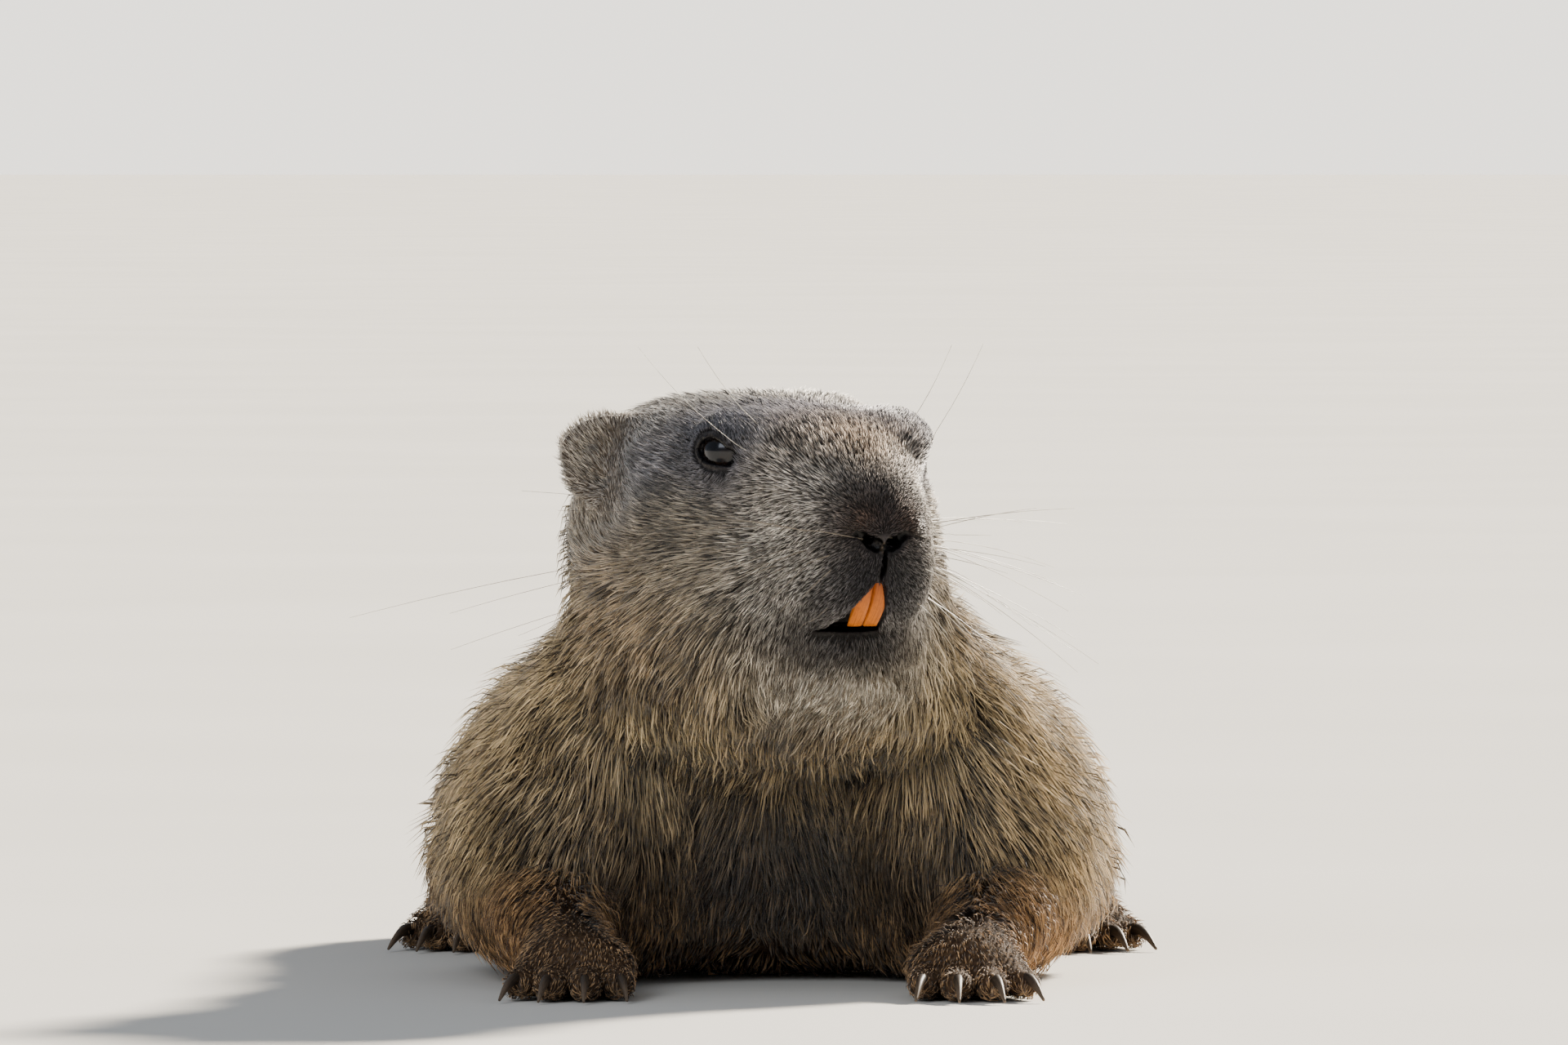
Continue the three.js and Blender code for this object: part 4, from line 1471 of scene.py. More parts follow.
@dataclass
class Skin:
    """The one skin of the animal.

    Attributes:
        fine: Size of its faces on the head, in mm.
        across: Size of its faces across the body.
        lengthwise: Size of its faces along the body.
        head_x: Stretch of x in which the faces are fine.
        head_y: Stretch of y in which they are.
        head_z: Stretch of z in which they are.
        refined: Masses of the head's frame round which its faces are split once more.
    """

    fine: float = 1.15
    across: float = 3.2
    lengthwise: float = 4.0
    head_x: tuple[float, float] = (-62.0, 52.0)
    head_y: tuple[float, float] = (-268.0, -142.0)
    head_z: tuple[float, float] = (88.0, 165.0)
    refined: tuple[Field, ...] = (
        both((30, 38, 8), (7, 9, 7)),
        Ellipsoid((0, 72, -14), (14, 10, 9)),
        Ellipsoid((0, 64, -32), (14, 14, 10)),
    )

    def grow(self, coat: CoatMap, shift: float) -> None:
        """Makes the mesh.

        Args:
            coat: The map of the coat.
            shift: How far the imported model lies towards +Y of these numbers, in mm.
        """
        self.coat = coat
        self.field = SkinField(coat)
        self.shift = shift
        axes = (
            graded(-118.0, 118.0, self.head_x, self.fine, self.across),
            graded(-276.0, 316.0, self.head_y, self.fine, self.lengthwise),
            graded(-3.0, 172.0, self.head_z, self.fine, self.across),
        )
        corners, quads = NetMaker(self.field, axes).surface()
        corners = settled(self.field, corners, 1.2)
        self.piece = mesh_of("skin", corners, quads, shift)
        self.refine()
        log.info("skin: %d corners, %d triangles", len(self.corners), len(self.triangles))

    def refine(self) -> None:
        """Splits the faces round the eyes, nose and mouth, and lays the new corners on the skin."""
        mesh = self.piece.data
        made = bmesh.new()
        made.from_mesh(mesh)
        places = np.array([v.co for v in made.verts]) / MM - [0, self.shift, 0]
        near = self.to_refine(places) < 0
        edges = [e for e in made.edges if near[e.verts[0].index] and near[e.verts[1].index]]
        bmesh.ops.subdivide_edges(made, edges=edges, cuts=1, use_grid_fill=True)
        made.verts.index_update()
        bmesh.ops.triangulate(made, faces=made.faces[:])
        made.to_mesh(mesh)
        made.free()
        places = np.empty(len(mesh.vertices) * 3, dtype=np.float32)
        mesh.vertices.foreach_get("co", places)
        places = places.reshape(-1, 3).astype(float) / MM - [0, self.shift, 0]
        near = self.to_refine(places) < 1.0
        places[near] = settled(self.field, places[near], 0.8)
        mesh.vertices.foreach_set("co", ((places + [0, self.shift, 0]) * MM).astype(np.float32).ravel())
        mesh.update()
        triangles = np.empty(len(mesh.polygons) * 3, dtype=np.int32)
        mesh.loops.foreach_get("vertex_index", triangles)
        self.corners = places
        self.triangles = triangles.reshape(-1, 3)

    def to_refine(self, places: Points) -> Numbers:
        """Distance in mm from each point of the body's frame to the masses that are refined."""
        in_head = HEAD.inward(places)
        return np.min([field(in_head) for field in self.refined], axis=0)

    def dress(self, finish: SkinFinish) -> None:
        """Paints the skin in the coat's markings and puts it in place of the solids of flesh.

        Args:
            finish: Its finish.
        """
        mesh = self.piece.data
        weights = self.coat.weights(self.corners)
        bare, tone = self.field.bareness(HEAD.inward(self.corners))
        put_values(mesh, "under", weights @ colours_of("under"))
        put_values(mesh, "over", weights @ colours_of("over"))
        put_values(mesh, "bare", bare)
        put_values(mesh, "tone", tone)
        mesh.materials.append(finish.make())
        pairs = ("foreleg", "forefoot", "hindleg", "hindfoot", "ear")
        sides = [f"{part}_{side}" for part in pairs for side in SIDES]
        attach(self.piece, "root")
        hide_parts("head", "lower_jaw", "neck", "trunk", "tail", *sides)


# The tufts


@dataclass(frozen=True)
class Zone:
    """A piece of the coat.

    Attributes:
        name: Name of its piece.
        slot: Name of a material slot; it is not used.
        regions: Names of the regions whose hair it holds.
        count: Number of its tufts.
        rings: Number of rings in each tuft between its root and its tip.
        clump: Distance between the middles of its locks, in mm.
        hold: How far the tips of a lock come together, from 0 to 1.
        stray: How far hairs point away from the lie, in radians.
        finish: Its finish.
        hug: How steeply a hair may bend back towards the skin, as a share of its length.
    """

    name: str
    slot: str
    regions: tuple[str, ...]
    count: int
    rings: int
    clump: float
    hold: float
    stray: float
    finish: FurFinish
    hug: float = 0.34


ZONES = (
    Zone("coat_muzzle", "face_fur", ("nose", "nose_wing", "muzzle", "muzzle_side", "bridge", "lower_lip"),
         20000, 1, 1.6, 0.2, 0.16, FACE_HAIR),
    Zone("coat_brow", "face_fur", ("forehead", "brow", "eye_round", "temple"),
         24000, 1, 2.2, 0.25, 0.16, FACE_HAIR),
    Zone("coat_cheeks", "face_fur", ("cheek", "chin"), 22000, 1, 3.2, 0.35, 0.14, FACE_HAIR),
    Zone("coat_jowls", "face_fur", ("jowl",), 10000, 2, 4.0, 0.45, 0.15, THROAT_HAIR),
    Zone("coat_crown", "face_fur", ("crown",), 12000, 1, 3.0, 0.3, 0.2, FACE_HAIR),
    Zone("coat_ears", "ear_fur", ("ear", "ear_hollow"), 10000, 1, 2.0, 0.15, 0.2, EAR_HAIR, 0.06),
    Zone("coat_throat", "neck_fur", ("throat", "ruff", "chest"), 15500, 2, 5.5, 0.45, 0.16, THROAT_HAIR),
    Zone("coat_neck", "neck_fur", ("nape", "neck"), 20000, 1, 5.5, 0.25, 0.18, BODY_HAIR),
    Zone("coat_shoulders", "limb_fur", ("shoulder", "forearm"), 23500, 1, 6.0, 0.16, 0.22, LIMB_HAIR),
    Zone("coat_feet", "limb_fur", ("forefoot", "hindfoot"), 10000, 1, 2.4, 0.25, 0.12, LIMB_HAIR),
    Zone("coat_back", "back_fur", ("back",), 18000, 1, 8.0, 0.4, 0.14, BODY_HAIR),
    Zone("coat_flanks", "back_fur", ("flank", "belly"), 13000, 1, 8.0, 0.4, 0.14, BODY_HAIR),
    Zone("coat_hindquarters", "limb_fur", ("rump", "thigh"), 15000, 1, 7.5, 0.4, 0.15, BODY_HAIR),
    Zone("coat_tail", "tail_fur", ("tail", "tail_end"), 12000, 1, 7.0, 0.35, 0.16, TAIL_HAIR),
)


@dataclass
class Coat:
    """All the tufts, each zone one mesh of closed tapered hairs.

    Attributes:
        skin: The skin that they grow from.
        chance: Where its random numbers come from.
        patch: Size of a tuft's patch on the map for baking, as a share of the map.
        standing: Share of the hairs that stand up out of the coat.
        dark: Share of the hairs whose tips are dark.
        sunk: How deep the roots sit in the skin, in mm.
        clearance: How high the lowest hairs keep over the floor, in mm.
    """

    skin: Skin
    chance: Dice
    patch: float = 0.003
    standing: float = 0.1
    dark: float = 0.36
    sunk: float = 0.25
    clearance: float = 0.5

    def __post_init__(self) -> None:
        """Finds each face's zone and how many tufts it yields."""
        skin = self.skin
        middles = skin.corners[skin.triangles].mean(axis=1)
        weights = skin.coat.weights(middles)
        zone_of = {name: index for index, zone in enumerate(ZONES) for name in zone.regions}
        home = np.array([zone_of[region.name] for region in REGIONS])
        shares = np.stack([weights[:, home == index].sum(axis=1) for index in range(len(ZONES))], axis=1)
        self.zone = shares.argmax(axis=1)
        a, b, c = (skin.corners[skin.triangles[:, k]] for k in range(3))
        areas = lengths(np.cross(b - a, c - a)) / 2
        bare, _ = skin.field.bareness(HEAD.inward(middles))
        sole = (middles[:, 2] < FLOOR_GAP + 0.4).astype(float)
        self.yields = areas * (weights @ column_of("density")) * (1 - bare) * (1 - sole)

    def roots(self, index: int, count: int) -> Points:
        """Evenly spread places on the skin of one zone.

        Args:
            index: The zone's place in ZONES.
            count: How many are wanted.

        Returns:
            The places, in mm.
        """
        mine = np.nonzero(self.zone == index)[0]
        heap = np.cumsum(self.yields[mine])
        picks = (np.arange(count) + self.chance.random(count)) / count * heap[-1]
        faces = self.skin.triangles[mine[np.searchsorted(heap, picks)]]
        s, t = self.chance.random((2, count))
        flip = s + t > 1
        s, t = np.where(flip, 1 - s, s)[:, None], np.where(flip, 1 - t, t)[:, None]
        a, b, c = (self.skin.corners[faces[:, k]] for k in range(3))
        return a + s * (b - a) + t * (c - a)

    def make(self, index: int) -> None:
        """Makes the tufts of one zone and dresses them.

        Args:
            index: The zone's place in ZONES.
        """
        zone = ZONES[index]
        count = zone.count
        roots = self.roots(index, count)
        weights = self.skin.coat.weights(roots)
        _, slope = slope_of(self.skin.field, roots)
        normals = unit(slope)
        paths = self.paths(zone, roots, weights, normals)
        widths = (weights @ column_of("width")) * self.chance.uniform(0.7, 1.25, count)
        corners = self.prisms(paths, normals, widths)
        template = self.template(zone.rings)
        per = corners.shape[1]
        faces = (template[None] + per * np.arange(count)[:, None, None]).reshape(-1, 3)
        piece = mesh_of(zone.name, corners.reshape(-1, 3), faces, self.skin.shift)
        self.paint(piece.data, zone, weights, per)
        self.unwrap(piece.data, roots, normals, faces, per)
        piece.data.materials.append(zone.finish.make())
        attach(piece, "root")
        log.info("%s: %d tufts, %d triangles", zone.name, count, len(faces))

    def paths(self, zone: Zone, roots: Points, weights: Numbers, normals: Points) -> Numbers:
        """Middle lines of the tufts: they leave the skin and then lie along it.

        Args:
            zone: Their zone.
            roots: Where they grow.
            weights: The roots' weights.
            normals: The way the skin faces there.

        Returns:
            The points of each tuft, from its root to its tip.
        """
        count = len(roots)
        chance = self.chance
        lie = self.skin.coat.lie(roots, weights, normals)
        aside = np.cross(normals, lie)
        # Waves some 30 to 60 mm long in the lie, and then a turn of each hair's own
        wander = np.sin(roots @ np.array([0.03, 0.09, -0.05]))
        sway = 0.22 * np.sin(roots @ np.array([0.11, 0.05, 0.16]) + 2.0 * wander)
        turn = (sway + chance.normal(0.0, zone.stray, count))[:, None]
        lie = unit(lie * np.cos(turn) + aside * np.sin(turn))
        stands = chance.random(count) < self.standing
        length = (weights @ column_of("length")) * np.where(stands, 0.85, chance.uniform(0.72, 1.15, count))
        proud = np.where(stands, chance.uniform(1.15, 1.7, count), chance.uniform(0.6, 1.1, count))
        height = (weights @ column_of("depth")) * proud
        shares = np.linspace(0.0, 1.0, zone.rings + 2) ** 0.9
        points = np.empty((count, len(shares), 3))
        for k, share in enumerate(shares):
            spot = roots + lie * (length * share)[:, None]
            wanted = height * (1.0 - (1.0 - share) ** 1.8) - self.sunk * (share == 0)
            if share > 0:
                lift = np.maximum(wanted - self.skin.field(spot), -zone.hug * length * share)
            else:
                lift = wanted
            points[:, k] = spot + normals * lift[:, None]
        points = self.gathered(points, zone, shares)
        points[..., 2] = np.maximum(points[..., 2], self.clearance)
        return points

    def gathered(self, points: Numbers, zone: Zone, shares: Numbers) -> Numbers:
        """The tufts drawn together into locks towards their tips.

        Args:
            points: The points of each tuft.
            zone: Their zone.
            shares: How far along a tuft its points are.

        Returns:
            The points after.
        """
        roots = points[:, 0]
        spread = len(roots)
        area = max(self.yields[self.zone == ZONES.index(zone)].sum(), 1.0)
        locks = max(8, int(min(spread / 3, area / zone.clump**2)))
        middles = self.chance.choice(spread, locks, replace=False)
        tree = KDTree(len(middles))
        for number, middle in enumerate(middles):
            tree.insert(roots[middle], number)
        tree.balance()
        self.lock = np.array([tree.find(root)[1] for root in roots])
        leader = points[middles[self.lock]]
        pull = zone.hold * self.chance.uniform(0.4, 1.3, spread)[:, None] * shares[None] ** 1.5
        return points + pull[..., None] * (leader - points)

    @staticmethod
    def prisms(paths: Numbers, normals: Points, widths: Numbers) -> Numbers:
        """Corners of closed three-sided hairs round their middle lines.

        Args:
            paths: The points of each hair.
            normals: The way the skin faces at each root.
            widths: Width of each hair, in mm.

        Returns:
            The corners of each hair.
        """
        count, stops, _ = paths.shape
        corners = np.empty((count, 2 + 3 * (stops - 2), 3))
        corners[:, 0], corners[:, -1] = paths[:, 0], paths[:, -1]
        for ring in range(1, stops - 1):
            along = unit(paths[:, ring + 1] - paths[:, ring - 1])
            aside = unit(np.cross(along, normals))
            over = np.cross(aside, along)
            full = 1.0 if ring == 1 else 0.8
            for corner in range(3):
                angle = math.radians(90 + 120 * corner)
                reach = aside * math.cos(angle) + over * (0.75 * math.sin(angle))
                number = 1 + 3 * (ring - 1) + corner
                corners[:, number] = paths[:, ring] + reach * (widths * full / 2)[:, None]
        return corners

    @staticmethod
    def template(rings: int) -> Numbers:
        """Triangles of one hair, as numbers of its own corners.

        Args:
            rings: Number of rings between root and tip.

        Returns:
            Rows of three corner numbers.
        """
        last = 1 + 3 * rings
        made = []
        for k in range(3):
            n = (k + 1) % 3
            made.append((0, 1 + k, 1 + n))
            for ring in range(rings - 1):
                low, high = 1 + 3 * ring, 4 + 3 * ring
                made += [(low + k, high + k, high + n), (low + k, high + n, low + n)]
            made.append((last - 3 + k, last, last - 3 + n))
        return np.array(made)

    def paint(self, mesh: Mesh, zone: Zone, weights: Numbers, per: int) -> None:
        """Writes the markings, the place along each hair and its shade.

        Args:
            mesh: The zone's mesh.
            zone: The zone.
            weights: The roots' weights.
            per: Number of corners in each hair.
        """
        count = len(weights)
        along = np.concatenate([[0.0], np.repeat(np.linspace(0, 1, zone.rings + 2)[1:-1], 3), [1.0]])
        lock_shade = self.chance.uniform(0.66, 1.26, self.lock.max() + 1)[self.lock]
        shade = lock_shade * self.chance.uniform(0.66, 1.34, count)
        dark = self.chance.random(count) < self.dark
        tip = np.where(dark, self.chance.uniform(0.0, 0.35, count), self.chance.uniform(0.75, 1.2, count))
        put_values(mesh, "along", np.tile(along, count))
        put_values(mesh, "shade", np.repeat(shade, per))
        put_values(mesh, "tip", np.repeat(tip, per))
        put_values(mesh, "under", np.repeat(weights @ colours_of("under"), per, axis=0))
        put_values(mesh, "over", np.repeat(weights @ colours_of("over"), per, axis=0))

    def unwrap(self, mesh: Mesh, roots: Points, normals: Points, faces: Numbers, per: int) -> None:
        """Maps each tuft to a small patch at its root's place, on an unwrap of the skin from six sides.

        Args:
            mesh: The zone's mesh.
            roots: Where the tufts grow.
            normals: The way the skin faces there.
            faces: The mesh's triangles.
            per: Number of corners in each hair.
        """
        axis = np.abs(normals).argmax(axis=1)
        low, high = roots.min(axis=0), roots.max(axis=0)
        seat = (roots - low) / np.maximum(high - low, 1e-6)
        others = np.array([(1, 2), (0, 2), (0, 1)])[axis]
        flat = np.take_along_axis(seat, others, axis=1)
        ahead = normals[np.arange(len(roots)), axis] > 0
        middle = (0.03 + 0.94 * flat + np.stack([axis, ahead], axis=1)) / np.array([3.0, 2.0])
        share = np.linspace(-0.5, 0.5, per)
        side = np.where(np.arange(per) % 2 == 0, -0.5, 0.5)
        spots = middle[:, None] + self.patch * np.stack([side, share], axis=1)[None]
        layer = mesh.uv_layers.new(name="OFBake")
        layer.data.foreach_set("uv", spots.reshape(-1, 2)[faces.ravel()].astype(np.float32).ravel())


# Eyes, teeth and claws


def grid_faces(rows: int, columns: int) -> Numbers:
    """Quads of a tube of rings, as corner numbers.

    Args:
        rows: Number of rings.
        columns: Corners in each ring.

    Returns:
        The quads.
    """
    quads = []
    for row in range(rows - 1):
        for column in range(columns):
            after = (column + 1) % columns
            a, b = row * columns + column, row * columns + after
            quads.append((a, b, b + columns, a + columns))
    return np.array(quads)


def closed_tube(rings: Numbers) -> tuple[Points, Numbers]:
    """A tube of rings, closed at both ends.

    Args:
        rings: Corners as rows of rings.

    Returns:
        Corners and triangles.
    """
    rows, columns, _ = rings.shape
    corners = np.concatenate([rings.reshape(-1, 3), [rings[0].mean(axis=0)], [rings[-1].mean(axis=0)]])
    quads = grid_faces(rows, columns)
    sides = np.concatenate([quads[:, [0, 1, 2]], quads[:, [0, 2, 3]]])
    ends = []
    for column in range(columns):
        after = (column + 1) % columns
        ends.append((rows * columns, after, column))
        ends.append((rows * columns + 1, (rows - 1) * columns + column, (rows - 1) * columns + after))
    return corners, np.concatenate([sides, np.array(ends)])


@dataclass
class Eye:
    """An eyeball with its cornea.

    Attributes:
        side: "left" or "right".
        radius: Radius of the ball, in mm.
        bulge: How far the cornea stands over the ball.
        cornea: Half angle of the cornea seen from the ball's centre, in radians.
        rings: Number of rings from front to back.
        columns: Corners in each ring.
    """

    side: str
    radius: float = EYE_RADIUS
    bulge: float = 0.35
    cornea: float = 0.75
    rings: int = 36
    columns: int = 48

    def build(self, shift: float, finish: Material) -> None:
        """Makes the eye and puts it in place of its solid.

        Args:
            shift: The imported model's shift towards +Y, in mm.
            finish: Its material.
        """
        off = np.linspace(0.0, math.pi, self.rings + 1)[1:-1]
        around = np.linspace(0.0, 2 * math.pi, self.columns, endpoint=False)
        dome = self.bulge * np.cos(np.minimum(off / self.cornea, 1.0) * math.pi / 2) ** 2
        reach = self.radius - self.bulge + dome
        rings = np.empty((len(off), self.columns, 3))
        rings[..., 0] = (reach * np.sin(off))[:, None] * np.cos(around)
        rings[..., 1] = (reach * np.cos(off))[:, None]
        rings[..., 2] = (reach * np.sin(off))[:, None] * np.sin(around)
        corners, faces = closed_tube(rings)
        corners[-2:] = [[0, self.radius, 0], [0, self.bulge - self.radius, 0]]
        place = eye_place(SIDES[self.side])
        piece = mesh_of(f"eyeball_{self.side}", HEAD.outward(place.outward(corners)), faces, shift)
        put_values(piece.data, "off_axis", np.append(np.repeat(off, self.columns), [0.0, math.pi]))
        turns = np.tile(np.abs(around / math.pi - 1), len(off))
        put_values(piece.data, "around", np.append(turns, [0.0, 0.0]))
        piece.data.materials.append(finish)
        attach(piece, "root")
        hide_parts(f"eye_{self.side}")


@dataclass(frozen=True)
class Horn:
    """A horn-like form along a curve.

    Attributes:
        path: Points of its middle line.
        wide: Half width at each share of the way along.
        deep: Half depth there.
        square: How square its section is, from 2 for round upwards.
    """

    path: tuple[Vec, ...]
    wide: Callable[[float], float]
    deep: Callable[[float], float]
    square: float = 2.0

    def build(self, rows: int = 14, columns: int = 16) -> tuple[Points, Numbers, Numbers, Numbers]:
        """The horn as a closed mesh, with what its material reads.

        Args:
            rows: Number of rings along it.
            columns: Corners in each ring.

        Returns:
            Corners, triangles, and each corner's place along and across.
        """
        knots = np.array(self.path, dtype=float)
        stops = np.linspace(0, len(knots) - 1, rows)
        fits = np.polynomial.polynomial.polyfit(np.arange(len(knots)), knots, len(knots) - 1)
        middle = np.polynomial.polynomial.polyval(stops, fits).T
        way = unit(np.gradient(middle, axis=0))
        aside = unit(np.cross(way, np.array([0.0, 0.0, 1.0]) + 0.001))
        over = np.cross(aside, way)
        around = np.linspace(0, 2 * math.pi, columns, endpoint=False)
        power = 2.0 / self.square
        x = np.sign(np.cos(around)) * np.abs(np.cos(around)) ** power
        y = np.sign(np.sin(around)) * np.abs(np.sin(around)) ** power
        shares = np.linspace(0, 1, rows)
        wide = np.array([self.wide(share) for share in shares])[:, None, None]
        deep = np.array([self.deep(share) for share in shares])[:, None, None]
        rings = middle[:, None] + wide * x[None, :, None] * aside[:, None]
        rings += deep * y[None, :, None] * over[:, None]
        corners, faces = closed_tube(rings)
        along = np.append(np.repeat(shares, columns), [0.0, 1.0])
        across = np.append(np.tile(np.cos(around), rows), [0.0, 0.0])
        return corners, faces[:, ::-1], along, across


@dataclass
class Incisors:
    """The two upper incisors, which show between the lips.

    Attributes:
        half_width: Half the width of a tooth at its root, in mm.
        half_depth: Half its depth there.
    """

    half_width: float = 2.4
    half_depth: float = 1.9

    def build(self, side: str, shift: float, finish: Material) -> None:
        """Makes one tooth and puts it in place of its solid.

        Args:
            side: "left" or "right".
            shift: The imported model's shift towards +Y, in mm.
            finish: Its material.
        """
        x = -SIDES[side]
        path = ((2.35 * x, 70.8, -20.5), (2.35 * x, 69.8, -28.5), (2.15 * x, 64.4, -36.6))
        tooth = Horn(
            path,
            lambda share: self.half_width - 0.4 * share * share,
            lambda share: self.half_depth - 1.55 * share * share,
            3.2,
        )
        corners, faces, along, across = tooth.build(20, 24)
        piece = mesh_of(f"incisor_enamel_{side}", HEAD.outward(corners), faces, shift)
        put_values(piece.data, "along", along)
        put_values(piece.data, "across", across + (0.0 if x > 0 else 3.0))
        piece.data.materials.append(finish)
        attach(piece, "root")
        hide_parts(f"incisor_{side}")


@dataclass
class Claws:
    """The claws of one foot, joined to one piece.

    Attributes:
        foot: FOREFOOT or HINDFOOT.
        kind: "fore" or "hind".
        side: "left" or "right".
        radius: Half the width of a claw at its root, in mm.
        clearance: How high the claws keep over the floor, in mm.
    """

    foot: Foot
    kind: str
    side: str
    radius: float = 1.5
    clearance: float = 0.15

    def build(self, shift: float, finish: Material) -> None:
        """Makes the claws and puts them in place of their solids.

        Args:
            shift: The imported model's shift towards +Y, in mm.
            finish: Their material.
        """
        side = SIDES[self.side]
        parts: list[tuple[Numbers, ...]] = []
        start = 0
        for _, tip, angle in digits_of(self.foot, side):
            heading = np.array([math.sin(angle), math.cos(angle)])
            stops = ((-1.0, 5.2), (5.0, 5.4), (10.0, 3.2), (13.5, 0.9))
            path = tuple((*(tip[:2] + heading * reach), z) for reach, z in stops)
            claw = Horn(
                path,
                lambda share: self.radius * (1 - 0.8 * share) + 0.03,
                lambda share: (self.radius + 0.4) * (1 - 0.84 * share) + 0.03,
                2.3,
            )
            corners, faces, along, across = claw.build(12, 12)
            parts.append((corners, faces + start, along, across + 2.0 * len(parts)))
            start += len(corners)
        corners, faces, along, across = (np.concatenate(column) for column in zip(*parts))
        placed = foot_place(self.foot, side).outward(corners)
        placed[:, 2] = np.maximum(placed[:, 2], self.clearance)
        piece = mesh_of(f"claws_{self.kind}_{self.side}", placed, faces, shift)
        put_values(piece.data, "along", along)
        put_values(piece.data, "across", across)
        piece.data.materials.append(finish)
        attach(piece, "root")
        solids = [f"claw_{self.kind}_{self.side}_{index + 1}" for index in range(len(parts))]
        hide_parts(*solids)


# Whiskers


@dataclass(frozen=True)
class WhiskerRow:
    """A row of whiskers that leave the skin from back to front.

    Attributes:
        start: Root of the hindmost whisker in the head's frame, with x away from the middle.
        end: Root of the foremost.
        count: Number of whiskers in the row.
        way: Their direction at the back of the row.
        way_end: Their direction at the front.
        long: Length of the hindmost, in mm.
        short: Length of the foremost.
        sag: How far their tips droop, as a share of their length.
        brow: Whether they stand over the eye.
    """

    start: Vec
    end: Vec
    count: int
    way: Vec
    way_end: Vec
    long: float
    short: float
    sag: float
    brow: bool = False


WHISKER_ROWS = (
    WhiskerRow((16.5, 52, -10), (9, 70, -14), 5, (0.78, -0.6, 0.06), (0.9, 0.4, 0.1), 78.0, 24.0, 0.06),
    WhiskerRow((18, 50, -15), (10, 70, -18), 6, (0.77, -0.63, -0.1), (0.9, 0.4, -0.1), 98.0, 24.0, 0.08),
    WhiskerRow((18.5, 51, -20), (10, 69, -22), 6, (0.77, -0.6, -0.22), (0.8, 0.4, -0.35), 92.0, 20.0, 0.08),
    WhiskerRow((17, 52, -26), (10, 66, -27), 4, (0.75, -0.5, -0.38), (0.7, 0.3, -0.6), 60.0, 16.0, 0.12),
    WhiskerRow((34, 24, -22), (33, 30, -24), 2, (0.9, -0.4, -0.2), (0.9, -0.3, -0.3), 30.0, 26.0, 0.15),
    WhiskerRow(
        (23.2, 49.5, 7), (21, 45, 11), 2, (0.72, -0.3, 0.42), (0.6, -0.1, 0.7), 40.0, 26.0, -0.3, True
    ),
)


class WhiskerNodes:
    """A node group that turns the edges of a mesh into tapered hairs."""

    def __init__(self, name: str) -> None:
        """Makes the group with its named inputs.

        Args:
            name: Its name.
        """
        self.tree = bpy.data.node_groups.new(name, "GeometryNodeTree")
        face = self.tree.interface
        face.new_socket("Geometry", in_out="INPUT", socket_type="NodeSocketGeometry")
        for label, kind in (
            ("Root radius", "NodeSocketFloat"),
            ("Tip radius", "NodeSocketFloat"),
            ("Sides", "NodeSocketInt"),
            ("Material", "NodeSocketMaterial"),
        ):
            face.new_socket(label, in_out="INPUT", socket_type=kind)
        face.new_socket("Geometry", in_out="OUTPUT", socket_type="NodeSocketGeometry")
        self.link()

    def link(self) -> None:
        """Lays out the nodes: edges to curves, curves to tapered tubes, then the material."""
        tree = self.tree
        given = add_node(tree, "NodeGroupInput").node.outputs
        curves = add_node(tree, "GeometryNodeMeshToCurve", {"Mesh": given["Geometry"]})
        smooth = add_node(tree, "GeometryNodeResampleCurve", {"Curve": curves, "Count": 14})
        share = add_node(tree, "GeometryNodeSplineParameter", out="Factor")
        feeds = {"Value": share, "To Min": given["Root radius"], "To Max": given["Tip radius"]}
        radius = add_node(tree, RANGE, feeds)
        feeds = {"Resolution": given["Sides"], "Radius": 1.0}
        ring = add_node(tree, "GeometryNodeCurvePrimitiveCircle", feeds)
        feeds = {"Curve": smooth, "Profile Curve": ring, "Scale": radius, "Fill Caps": True}
        tube = add_node(tree, "GeometryNodeCurveToMesh", feeds)
        solid = add_node(tree, "GeometryNodeRealizeInstances", {"Geometry": tube})
        feeds = {"Geometry": solid, "Material": given["Material"]}
        dressed = add_node(tree, "GeometryNodeSetMaterial", feeds)
        add_node(tree, "NodeGroupOutput", {"Geometry": dressed})

    def apply(self, thing: Thing, values: dict) -> Mesh:
        """Runs the group on an object and keeps the result as a plain mesh.

        Args:
            thing: An object whose mesh is edges.
            values: The group's inputs by their names.

        Returns:
            The finished mesh.
        """
        modifier = thing.modifiers.new("whiskers", "NODES")
        modifier.node_group = self.tree
        for item in self.tree.interface.items_tree:
            if getattr(item, "in_out", "") == "INPUT" and item.name in values:
                modifier[item.identifier] = values[item.name]
        graph = bpy.context.evaluated_depsgraph_get()
        mesh = bpy.data.meshes.new_from_object(thing.evaluated_get(graph), depsgraph=graph)
        thing.modifiers.remove(modifier)
        return mesh


